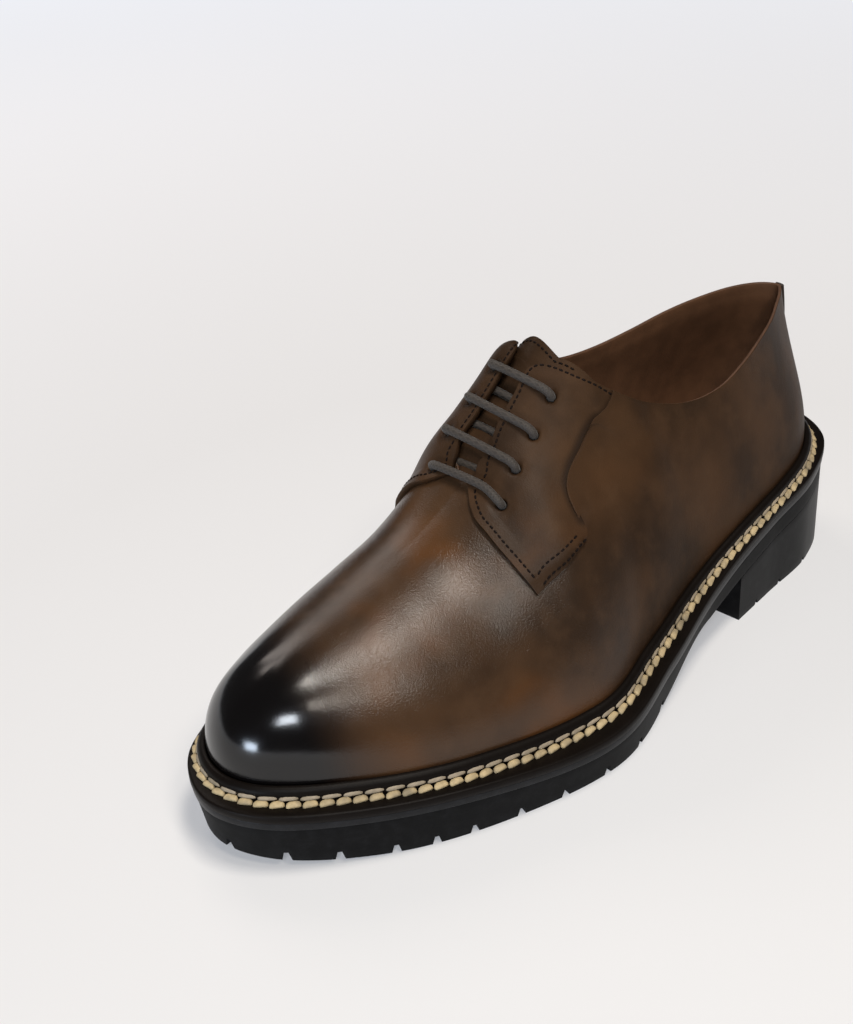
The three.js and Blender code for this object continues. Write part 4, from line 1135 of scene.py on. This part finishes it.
def bar_path(i, radius):
    """A bar of the lace: up out of one hole, over both facings and down the other."""
    halves = []
    for u, level in (hole_uv(i, False), hole_uv(i, True)):
        halves.append([shoe_surface(u, level + (LACE_ARCH - level) * t, lift + radius * lies)
                       for t, lift, lies in BAR_STEPS])
    middle = (halves[0][-1] + halves[1][-1]) / 2
    return halves[0][:-1] + [middle] + halves[1][-2::-1]


def under_path(i, radius):
    """A run of the lace under the facings, from an inner hole to the next outer one."""
    holes = hole_uv(i, True), hole_uv(i + 1, False)
    halves = []
    for way, inner in ((1, True), (-1, False)):
        (u, level), (other, _) = holes[::way]
        share = share_of(u)
        halves.append([])
        for t, lift, lies in UNDER_STEPS:
            across = side_u(share + (share_of(other) - share) * t, inner)
            rising = level + (1 - level) * t / UNDER_STEPS[-1][0]
            halves[-1].append(shoe_surface(across, rising, lift + radius * lies))
    return halves[0] + halves[1][::-1]


def make_lace(look):
    radius = look.lace_diameter / MM / 2
    paths = [bar_path(i, radius) for i in range(HOLE_COUNT)]
    paths += [under_path(i, radius) for i in range(HOLE_COUNT - 1)]
    bars = tuple(f"lace_bar_{i + 1}" for i in range(HOLE_COUNT))
    add_piece("lace", join_tubes(paths, radius), [look.cord], bars)


# Welt, stitches and sole

WELT_COLUMNS = 480
WELT_CORNER = 55
# The welt's section: its edge as (inset, drop), its margin as (share of the way to the rib, drop) and
# its rib as (height, out from the upper)
EDGE_ROWS = ((0.35, WELT_THICKNESS), (0.05, WELT_THICKNESS - 0.25), (0, 1.6), (0.05, 0.55), (0.3, 0.15),
             (0.9, 0))
MARGIN_ROWS = ((0.25, 0), (0.5, 0.05), (0.8, 0.25), (1, 0.3))
RIB_ROWS = ((0.9, RIB_WIDTH), (2.2, RIB_WIDTH + 0.1), (3.6, RIB_WIDTH - 0.05), (4.7, RIB_WIDTH - 0.5),
            (5.3, RIB_WIDTH - 1.3), (RIB_HEIGHT, 0.9), (5.3, 0.15), (3.0, 0), (-2.6, 0))
WALL_COVER = 0.2


def welt_frame(u):
    """Edge, outward direction and points on the upper at heights above the welt's top."""
    edge = inset_point(u, np.zeros_like(u))
    normal = edge_normal(u)

    def wall(height, out):
        return on_last(u, level_at_height(u, height), np.full_like(u, WALL_COVER)) + normal * out
    return edge, normal, wall


def welt_section(u):
    """The storm welt's section as a closed row of points at each u."""
    edge, normal, wall = welt_frame(u)
    base = wall(0.0, RIB_WIDTH)

    def out(inset, drop):
        return edge - normal * inset - UP * drop

    def flat(t, drop):
        point = out(*EDGE_ROWS[-1]) * (1 - t) + base * t
        point[:, 2] = edge[:, 2] * (1 - t) + welt_top(base[:, 1]) * t - drop
        return point

    rows = [make(*row) for make, table_rows in ((out, EDGE_ROWS), (flat, MARGIN_ROWS), (wall, RIB_ROWS))
            for row in table_rows]
    return np.stack(rows + rows[:1], axis=1)


def make_welt(look):
    section = welt_section(np.linspace(0, LOOP, WELT_COLUMNS + 1))
    rows = section.shape[1] - 1

    def place(a, b):
        k, j = (np.rint(values).astype(int) for values in (a * WELT_COLUMNS, b * rows))
        return section[k % WELT_COLUMNS, j]

    bm = shaped_grid(bmesh.new(), WELT_COLUMNS, rows, place)
    merge_seams(bm)
    bmesh.ops.recalc_face_normals(bm, faces=bm.faces)
    piece = add_piece("storm_welt_leather", bm, [look.welt], ("storm_welt",))
    sharp_by_angle(piece, WELT_CORNER)


# Each row of the welt's stitches: length, width and height of a stitch, its slant and its bend, how
# far it leans out and up, and where it lies
OUTER_STITCH = (5.05, 2.5, 1.9)
OUTER_TURN = (11.0, -0.5)
OUTER_LEAN = (0.45, 1)
OUTER_PLACE = (OUTER_STITCH[1] * HALF + 0.25, 0.2)
INNER_STITCH = (6.45, 1.7, 1.3)
INNER_TURN = (4.0, -0.15)
INNER_LEAN = (0.9, 0.6)
INNER_PLACE = (2.2, RIB_WIDTH - 0.1)


def make_welt_stitches(look):
    edge, normal, wall = welt_frame(np.linspace(0, LOOP, 900))
    base = wall(0.0, RIB_WIDTH)
    outer = base + normal * OUTER_PLACE[0]
    outer[:, 2] = welt_top(base[:, 1]) + OUTER_PLACE[1]
    for name, line, lean, pitch, size, turn, thread in (
            ("outer", outer, OUTER_LEAN, look.stitch_pitch, OUTER_STITCH, OUTER_TURN, look.cream_thread),
            ("inner", wall(*INNER_PLACE), INNER_LEAN, look.rib_stitch_pitch, INNER_STITCH, INNER_TURN,
             look.grey_thread)):
        bm = bmesh.new()
        stitch_line(bm, line, normal * lean[0] + UP * lean[1], pitch / MM, size, *turn)
        add_piece("welt_stitches_" + name, bm, [thread])


# Depths of the layers below the welt's top; each layer starts a hair below the one above
HAIR = 0.2 * CLEAR
MIDSOLE_TOP = WELT_THICKNESS + HAIR
MIDSOLE_FOOT = WELT_THICKNESS + CLEAR + MIDSOLE_THICKNESS
OUTSOLE_TOP = MIDSOLE_FOOT + HAIR
BAND_FOOT = MIDSOLE_FOOT + CLEAR + OUTSOLE_BAND
HEEL_TOP = BAND_FOOT + HAIR


def below_welt(depth):
    """The height at y of a face this far below the welt's top."""
    return lambda y: welt_top(y) - depth


def outsole_bottom(y):
    along = y / SOLE_LENGTH
    spring = np.clip((SPRING_START - along) / (SPRING_START - TOE_END), 0, 1)
    arch = (along - STAND_END) / (ARCH_END - STAND_END)
    band = below_welt(BAND_FOOT)
    rising = band(ARCH_END * SOLE_LENGTH) * smooth(0, 1, arch)
    return np.where(arch <= 0, TOE_SPRING * spring ** 2, np.where(arch >= 1, band(y), rising))


PLATE_GRID = (200, 8)
HEEL_GRID = (100, 8)
HEEL_BREAST = OUTLINE["along"][0] * SOLE_LENGTH - HEEL_LENGTH
MIDSOLE_INSET = 0.4
OUTSOLE_INSET = 0.8
HEEL_INSET = 0.2
FOREFOOT_TAPER = 1.8
TAPER_FADE = (0, 70)
HEEL_TAPER = 0.6
TIP_SHARE = 0.014
TIP_BLEND = 0.06


def share_at(y, inner):
    """Share of a side at which the outline passes y."""
    share = np.linspace(0, 1, 2001)
    return float(np.interp(-y, -edge_xy(side_u(share, inner))[:, 1], share))


def plate_place(inset, height, ends=(1 - TIP_SHARE, 1 - TIP_SHARE)):
    """A place function for a plate: a along it from the heel's back, b from the outer side to the inner."""
    def rim(u):
        return inset_point(u, inset(u))

    def at(a, b):
        outer = rim(TIP_SHARE + (ends[0] - TIP_SHARE) * a)
        inner = rim(LOOP - TIP_SHARE - (ends[1] - TIP_SHARE) * a)
        point = outer * (1 - b)[:, None] + inner * b[:, None]
        tips = [(0.0, 1, a)]
        if min(ends) > 1 - 2 * TIP_SHARE:
            tips.append((1.0, -1, 1 - a))
        for tip, way, near in tips:
            spread = way * TIP_SHARE * np.ones_like(b)
            chord = rim(tip + spread) * (1 - b)[:, None] + rim(tip - spread) * b[:, None]
            pull = np.clip(1 - near / TIP_BLEND, 0, 1) ** 3
            point += (rim(tip + spread * (1 - 2 * b)) - chord) * pull[:, None]
        point[:, 2] = height(point[:, 1])
        return point
    return at


def even(inset):
    """The same inset all round."""
    return lambda u: np.full_like(u, inset)


def outsole_under(u):
    """Inset of the outsole's underside: drawn in under the forefoot, flush over the heel."""
    ahead = 1 - smooth(*TAPER_FADE, edge_xy(u)[:, 1])
    return OUTSOLE_INSET + HEEL_INSET + FOREFOOT_TAPER * ahead


def groove_block(bm, u, reach, width, depth, floor, taper):
    """A wedge for one groove in the tread, from outside the edge inwards, narrower at its top."""
    edge = inset_point(np.array([u]), np.zeros(1))[0]
    inward = -edge_normal(np.array([u]))[0]
    across = np.array([-inward[1], inward[0], 0])
    made = bmesh.ops.create_cube(bm, size=1)["verts"]
    middle = edge + inward * (reach - GROOVE_OVERHANG) / 2
    for vert in made:
        x, y, z = vert.co
        wide = y * width * (taper if z > 0 else 1)
        spot = middle + inward * x * (reach + GROOVE_OVERHANG) + across * wide
        spot[2] = floor + z * 2 * depth
        vert.co = to_row(spot)


# Places of the tread's grooves along each side, as shares of the side
OUTER_GROOVES = (0.494, 0.549, 0.605, 0.657, 0.705, 0.753, 0.79, 0.828, 0.879, 0.927, 0.986)
INNER_GROOVES = (0.5, 0.552, 0.604, 0.656, 0.706, 0.755, 0.804, 0.853, 0.902, 0.952)
HEEL_GROOVES = (0.032, 0.097, 0.164, 0.22, 0.271)
GROOVE_REACH = 16.5
GROOVE_WIDTH = 4.8
GROOVE_DEPTH = 3.2
GROOVE_TAPER = 0.3
HEEL_GROOVE_REACH = 12.0
HEEL_GROOVE_WIDTH = 3.2
HEEL_GROOVE_DEPTH = 1.8
CROSS_GROOVES = 4
CROSS_SPAN = 76.0
CROSS_MIDDLE = -2.0
GROOVE_OVERHANG = 5.0


def make_outsole(look):
    top = plate_place(even(OUTSOLE_INSET), below_welt(OUTSOLE_TOP))
    bottom = plate_place(outsole_under, outsole_bottom)
    bm = slab(*PLATE_GRID, top, bottom, rounding=0.5, walls=3)
    piece = add_piece("outsole_rubber", bm, [look.rubber], ("outsole",))
    cutters = bmesh.new()
    for inner, shares in ((False, OUTER_GROOVES), (True, INNER_GROOVES)):
        for share in shares:
            u = side_u(share, inner)
            floor = float(outsole_bottom(edge_xy(u)[1]))
            groove_block(cutters, u, GROOVE_REACH, GROOVE_WIDTH, GROOVE_DEPTH, floor, GROOVE_TAPER)
    boolean_cut(piece, cutters)
    cutters = bmesh.new()
    for i in range(CROSS_GROOVES):
        along = SPRING_START + (STAND_END - SPRING_START) * (i + HALF) / CROSS_GROOVES
        middle = np.array([CROSS_MIDDLE, along * SOLE_LENGTH, 0])
        for vert in bmesh.ops.create_cube(cutters, size=1)["verts"]:
            x, y, z = vert.co
            vert.co = to_row(middle + np.array([x * CROSS_SPAN, y * GROOVE_WIDTH, z * 2 * GROOVE_DEPTH]))
    boolean_cut(piece, cutters)
    sharp_by_angle(piece)


def make_heel(look):
    ends = [share_at(HEEL_BREAST, inner) for inner in (False, True)]
    top = plate_place(even(OUTSOLE_INSET + HEEL_INSET), below_welt(HEEL_TOP), ends)
    bottom = plate_place(even(OUTSOLE_INSET + HEEL_TAPER), np.zeros_like, ends)
    bm = slab(*HEEL_GRID, top, bottom, rounding=0.35, walls=7)
    piece = add_piece("heel_block", bm, [look.heel], ("heel",))
    cutters = bmesh.new()
    for inner in (False, True):
        for share in HEEL_GROOVES:
            groove_block(cutters, side_u(share, inner), HEEL_GROOVE_REACH, HEEL_GROOVE_WIDTH,
                         HEEL_GROOVE_DEPTH, 0.0, GROOVE_TAPER)
    boolean_cut(piece, cutters)
    sharp_by_angle(piece)


def make_midsole(look):
    faces = [plate_place(even(MIDSOLE_INSET), below_welt(depth)) for depth in (MIDSOLE_TOP, MIDSOLE_FOOT)]
    bm = slab(*PLATE_GRID, *faces, rounding=0.25)
    sharp_by_angle(add_piece("midsole_layer", bm, [look.edge], ("midsole",)))


INSOLE_DISH = 0.8
INSOLE_GRID = (120, 16)


def make_insole(look):
    def inset(u):
        return welt_margin(u) + UPPER_WALL + CLEAR

    def place(raised):
        flat = plate_place(inset, below_welt(WELT_THICKNESS - CLEAR - raised))

        def at(a, b):
            point = flat(a, b)
            point[:, 2] -= INSOLE_DISH * raised / INSOLE_THICKNESS * 4 * b * (1 - b)
            return point
        return at

    bm = slab(*INSOLE_GRID, place(INSOLE_THICKNESS), place(0.0), rounding=0.5)
    add_piece("insole_leather", bm, [look.lining], ("insole",))


# The stage

FLOOR_SIZE = 8.0
GLOW_SPAN = (0.25, 1.7)
CLIP_END = 50
ROOM_COLOUR = (0.95, 0.97, 1, 1)
CAMERA_EYE = (317.9, -347.0, 330.5)
CAMERA_RIGHT = (0.70049, 0.71069, -0.06509)
CAMERA_UP = (-0.31293, 0.38784, 0.86698)
CAMERA_BACK = (0.6414, -0.58695, 0.49407)
CAMERA_LENS = 53.16
SENSOR = 36.0


def add_floor(look):
    """Matt white studio board with a little light of its own, as a lit light table has."""
    bm = bmesh.new()
    bmesh.ops.create_grid(bm, x_segments=1, y_segments=1, size=FLOOR_SIZE / 2)
    mesh = bpy.data.meshes.new("floor")
    bm.to_mesh(mesh)
    bm.free()
    floor = bpy.data.objects.new("floor", mesh)
    material, add = new_material("white_board", {
        "Base Color": look.floor, "Roughness": 0.9, "Specular IOR Level": 0.0,
        "Emission Color": look.floor_light})
    # The board's own light grows with the distance, so that the ground stays even behind the shoe
    away = add("VectorMath", {"operation": "LENGTH"}, {0: add("TexCoord", out="Object")}, "Value")
    glow = add("MapRange", {"From Min": GLOW_SPAN[0], "From Max": GLOW_SPAN[1], "To Min": look.floor_glow,
                            "To Max": look.far_glow}, {"Value": away})
    finish_material(material, {"Emission Strength": glow})
    mesh.materials.append(material)
    bpy.context.scene.collection.objects.link(floor)


def add_light(name, place, target, size, power, colour):
    """A soft box that faces a target, its places in millimetres in the tables' frame."""
    light = bpy.data.lights.new(name, "AREA")
    light.shape = "RECTANGLE"
    light.size, light.size_y = size
    light.energy = power
    light.color = colour
    box = bpy.data.objects.new(name, light)
    bpy.context.scene.collection.objects.link(box)
    start, end = (Vector(to_row(np.array(spot, dtype=float))) for spot in (place, target))
    box.location = start
    box.rotation_euler = (end - start).to_track_quat("-Z", "Y").to_euler()


# Soft boxes: name, place, target, width and height in metres, watts and tint
LIGHTS = (
    ("top_box", (340, 20, 1560), (0, -60, 66), (0.42, 0.36), 13, (1, 0.95, 0.87)),
    ("side_box", (850, -240, 1160), (0, -100, 55), (0.32, 0.22), 5.0, (1, 0.92, 0.82)),
    ("window", (760, -900, 1000), (0, -130, 50), (0.3, 0.28), 6.5, (0.85, 0.92, 1)),
    ("left_box", (-900, 220, 950), (0, -90, 60), (0.7, 0.5), 3.4, (1, 0.9, 0.83)),
    ("low_window", (230, -1600, 130), (0, -140, 40), (0.4, 0.3), 9.5, (0.72, 0.84, 1)),
)


def make_stage(look):
    scene = bpy.context.scene
    add_floor(look)
    for row in LIGHTS:
        add_light(*row)
    world = bpy.data.worlds.new("studio")
    world.use_nodes = True
    background = world.node_tree.nodes["Background"]
    background.inputs["Color"].default_value = ROOM_COLOUR
    background.inputs["Strength"].default_value = look.room_light
    scene.world = world
    scene.view_settings.view_transform = "Standard"
    scene.view_settings.look = "None"
    data = bpy.data.cameras.new("camera")
    data.lens = CAMERA_LENS
    data.sensor_width = SENSOR
    data.sensor_fit = "AUTO"
    data.clip_end = CLIP_END
    camera = bpy.data.objects.new("camera", data)
    pose = Matrix.Identity(4)
    for i, axis in enumerate((CAMERA_RIGHT, CAMERA_UP, CAMERA_BACK)):
        pose.col[i] = Vector((*Vector(axis).normalized(), 0))
    pose.col[3] = Vector((*to_row(np.array(CAMERA_EYE)), 1))
    camera.matrix_world = pose
    scene.collection.objects.link(camera)
    scene.camera = camera


# Settings, operators and the panel

def colour_setting(name, description, code):
    return bpy.props.FloatVectorProperty(
        name=name, description=description, subtype="COLOR", size=4, min=0, max=1, default=linear(code))


def length_setting(name, description, millimetres):
    return bpy.props.FloatProperty(
        name=name, description=description, subtype="DISTANCE", unit="LENGTH", min=0,
        default=millimetres * MM)


def share_setting(name, description, value):
    return bpy.props.FloatProperty(name=name, description=description, min=0, max=1, default=value)


class ShoeSizes(bpy.types.PropertyGroup):
    """Sizes of the lace and the stitches, shine of the calf and lights"""
    lace_diameter: length_setting("Lace", "Diameter of the round lace", 2.95)
    stitch_pitch: length_setting("Welt pitch", "From one outer welt stitch to the next", 5.2)
    rib_stitch_pitch: length_setting("Rib pitch", "From one rib stitch to the next", 6.7)
    gloss: share_setting("Gloss", "Lowest roughness of the calf", 0.17)
    shine: share_setting("Shine", "Specular level of the polished calf", 0.3)
    satin: share_setting("Satin", "Specular level of the unpolished calf", 0.035)
    wax: share_setting("Wax", "Specular level that the wax adds over the burnished toe", 0.2)
    floor_glow: share_setting("Floor glow", "Light of the floor's own near the shoe", 0.3)
    far_glow: share_setting("Far glow", "Light of the floor's own far from the shoe", 0.85)
    room_light: share_setting("Room light", "Strength of the even light of the room", 0.06)


class ShoeColours(bpy.types.PropertyGroup):
    """Colours of the leathers, rubber and threads"""
    brown: colour_setting("Brown", "Main stain of the calf", "#443020")
    brown_dark: colour_setting("Dark brown", "Darker clouds of the stain", "#2E2117")
    brown_warm: colour_setting("Warm brown", "Orange-brown patches of the stain", "#5E3A1C")
    brown_light: colour_setting("Light brown", "Small lighter marks", "#523C2A")
    # Burnishing black, which also paints the shade at the feather, beside the facings' rear seams and in
    # their lace holes
    black: colour_setting("Burnish", "Burnished toe and edges", "#090707")
    lining: colour_setting("Lining", "Lining and insole leather", "#6B4A33")
    raw_edge: colour_setting("Cut edge", "Cut edge of the collar", "#5C3F2D")
    strip: colour_setting("Back strip", "Strip over the back seam", "#2A1C14")
    welt: colour_setting("Welt", "Storm welt", "#130E0B")
    edge: colour_setting("Sole edge", "Dressed edge of the midsole", "#141416")
    rubber: colour_setting("Rubber", "Outsole", "#0B0B0C")
    heel: colour_setting("Heel", "Heel block", "#0E0E0F")
    cream_thread: colour_setting("Cream thread", "Outer welt stitches", "#C4AE86")
    grey_thread: colour_setting("Grey thread", "Rib stitches", "#A3947F")
    aged_thread: colour_setting("Aged thread", "Stitches darkened by wax", "#8C7F69")
    dark_thread: colour_setting("Dark thread", "Stitches of facings and tongue", "#140C09")
    cord: colour_setting("Lace", "Waxed lace", "#3A322B")
    floor: colour_setting("Floor", "Studio board", "#C6C4C2")
    floor_light: colour_setting("Floor light", "Light from under the board", "#F4F7FF")


class Look:
    """Sizes, colours and finished materials that the makers share."""


LOOK = Look()


def take_settings():
    scene = bpy.context.scene
    for name in ShoeSizes.__annotations__:
        setattr(LOOK, name, getattr(scene.shoe_sizes, name))
    for name in ShoeColours.__annotations__:
        setattr(LOOK, name, tuple(getattr(scene.shoe_colours, name)))


def make_materials():
    take_settings()
    LOOK.calf = patina_calf("patina_calf", LOOK)
    LOOK.facing_calf = patina_calf("patina_calf_facing", LOOK)
    LOOK.lining = plain_leather("lining_leather", LOOK.lining, roughness=0.6)
    LOOK.raw_edge = plain_leather("raw_leather_edge", LOOK.raw_edge, roughness=0.7)
    LOOK.strip = plain_leather("dark_strip_leather", LOOK.strip, roughness=0.4)
    LOOK.welt = plain_leather("waxed_welt_leather", LOOK.welt, roughness=0.45, grain=1.2, shine=0.11)
    LOOK.edge = black_rubber("dressed_sole_edge", LOOK.edge, roughness=0.36, shine=0.2)
    LOOK.rubber = black_rubber("moulded_rubber", LOOK.rubber, roughness=0.6, shine=0.1)
    LOOK.heel = black_rubber("dressed_heel_stack", LOOK.heel, roughness=0.4, shine=0.06)
    LOOK.cream_thread = waxed_thread("cream_linen_thread", LOOK.cream_thread, LOOK.aged_thread)
    LOOK.grey_thread = waxed_thread("grey_linen_thread", LOOK.grey_thread, LOOK.aged_thread)
    LOOK.dark_thread = waxed_thread("dark_thread", LOOK.dark_thread, LOOK.dark_thread, shine=0.1)
    LOOK.cord = waxed_cord("waxed_cotton_cord", LOOK.cord)


class SHOE_OT_materials(bpy.types.Operator):
    """Make the leathers, rubber and threads"""
    bl_idname = "shoe.materials"
    bl_label = "Materials"

    def execute(self, context):
        make_materials()
        return {"FINISHED"}


class SHOE_OT_upper(bpy.types.Operator):
    """Make the hollow upper with its lining and collar"""
    bl_idname = "shoe.upper"
    bl_label = "Upper"

    def execute(self, context):
        make_upper(LOOK)
        return {"FINISHED"}


class SHOE_OT_facings(bpy.types.Operator):
    """Make both facings and their stitches"""
    bl_idname = "shoe.facings"
    bl_label = "Facings"

    def execute(self, context):
        for inner in (False, True):
            make_facing(LOOK, inner)
            make_quarter_lap(LOOK, inner)
        make_facing_stitches(LOOK)
        return {"FINISHED"}


class SHOE_OT_tongue(bpy.types.Operator):
    """Make the tongue"""
    bl_idname = "shoe.tongue"
    bl_label = "Tongue"

    def execute(self, context):
        make_tongue(LOOK)
        return {"FINISHED"}


class SHOE_OT_back_strip(bpy.types.Operator):
    """Make the strip over the back seam"""
    bl_idname = "shoe.back_strip"
    bl_label = "Back strip"

    def execute(self, context):
        make_back_strip(LOOK)
        return {"FINISHED"}


class SHOE_OT_lace(bpy.types.Operator):
    """Run the lace through its holes"""
    bl_idname = "shoe.lace"
    bl_label = "Lace"

    def execute(self, context):
        make_lace(LOOK)
        return {"FINISHED"}


class SHOE_OT_welt(bpy.types.Operator):
    """Make the storm welt and its two rows of stitches"""
    bl_idname = "shoe.welt"
    bl_label = "Welt"

    def execute(self, context):
        make_welt(LOOK)
        make_welt_stitches(LOOK)
        return {"FINISHED"}


class SHOE_OT_sole(bpy.types.Operator):
    """Make the midsole, outsole, heel and insole"""
    bl_idname = "shoe.sole"
    bl_label = "Sole"

    def execute(self, context):
        make_midsole(LOOK)
        make_outsole(LOOK)
        make_heel(LOOK)
        make_insole(LOOK)
        return {"FINISHED"}


class SHOE_OT_stage(bpy.types.Operator):
    """Set the floor, lights and camera"""
    bl_idname = "shoe.stage"
    bl_label = "Stage"

    def execute(self, context):
        make_stage(LOOK)
        return {"FINISHED"}


STEPS = ("materials", "upper", "facings", "tongue", "back_strip", "lace", "welt", "sole", "stage")


class SHOE_PT_panel(bpy.types.Panel):
    """Settings and steps of the shoe"""
    bl_idname = "SHOE_PT_panel"
    bl_label = "Derby shoe"
    bl_space_type = "VIEW_3D"
    bl_region_type = "UI"
    bl_category = "Shoe"

    def draw(self, context):
        for group in (context.scene.shoe_sizes, context.scene.shoe_colours):
            for name in group.__annotations__:
                self.layout.prop(group, name)
        for step in STEPS:
            self.layout.operator("shoe." + step)


CLASSES = (
    ShoeSizes, ShoeColours, SHOE_OT_materials, SHOE_OT_upper, SHOE_OT_facings, SHOE_OT_tongue,
    SHOE_OT_back_strip, SHOE_OT_lace, SHOE_OT_welt, SHOE_OT_sole, SHOE_OT_stage, SHOE_PT_panel,
)


def register():
    for cls in CLASSES:
        bpy.utils.register_class(cls)
    bpy.types.Scene.shoe_sizes = bpy.props.PointerProperty(type=ShoeSizes)
    bpy.types.Scene.shoe_colours = bpy.props.PointerProperty(type=ShoeColours)


def unregister():
    del bpy.types.Scene.shoe_colours
    del bpy.types.Scene.shoe_sizes
    for cls in reversed(CLASSES):
        bpy.utils.unregister_class(cls)


def main():
    register()
    for step in STEPS:
        getattr(bpy.ops.shoe, step)()


if __name__ == "__main__":
    main()
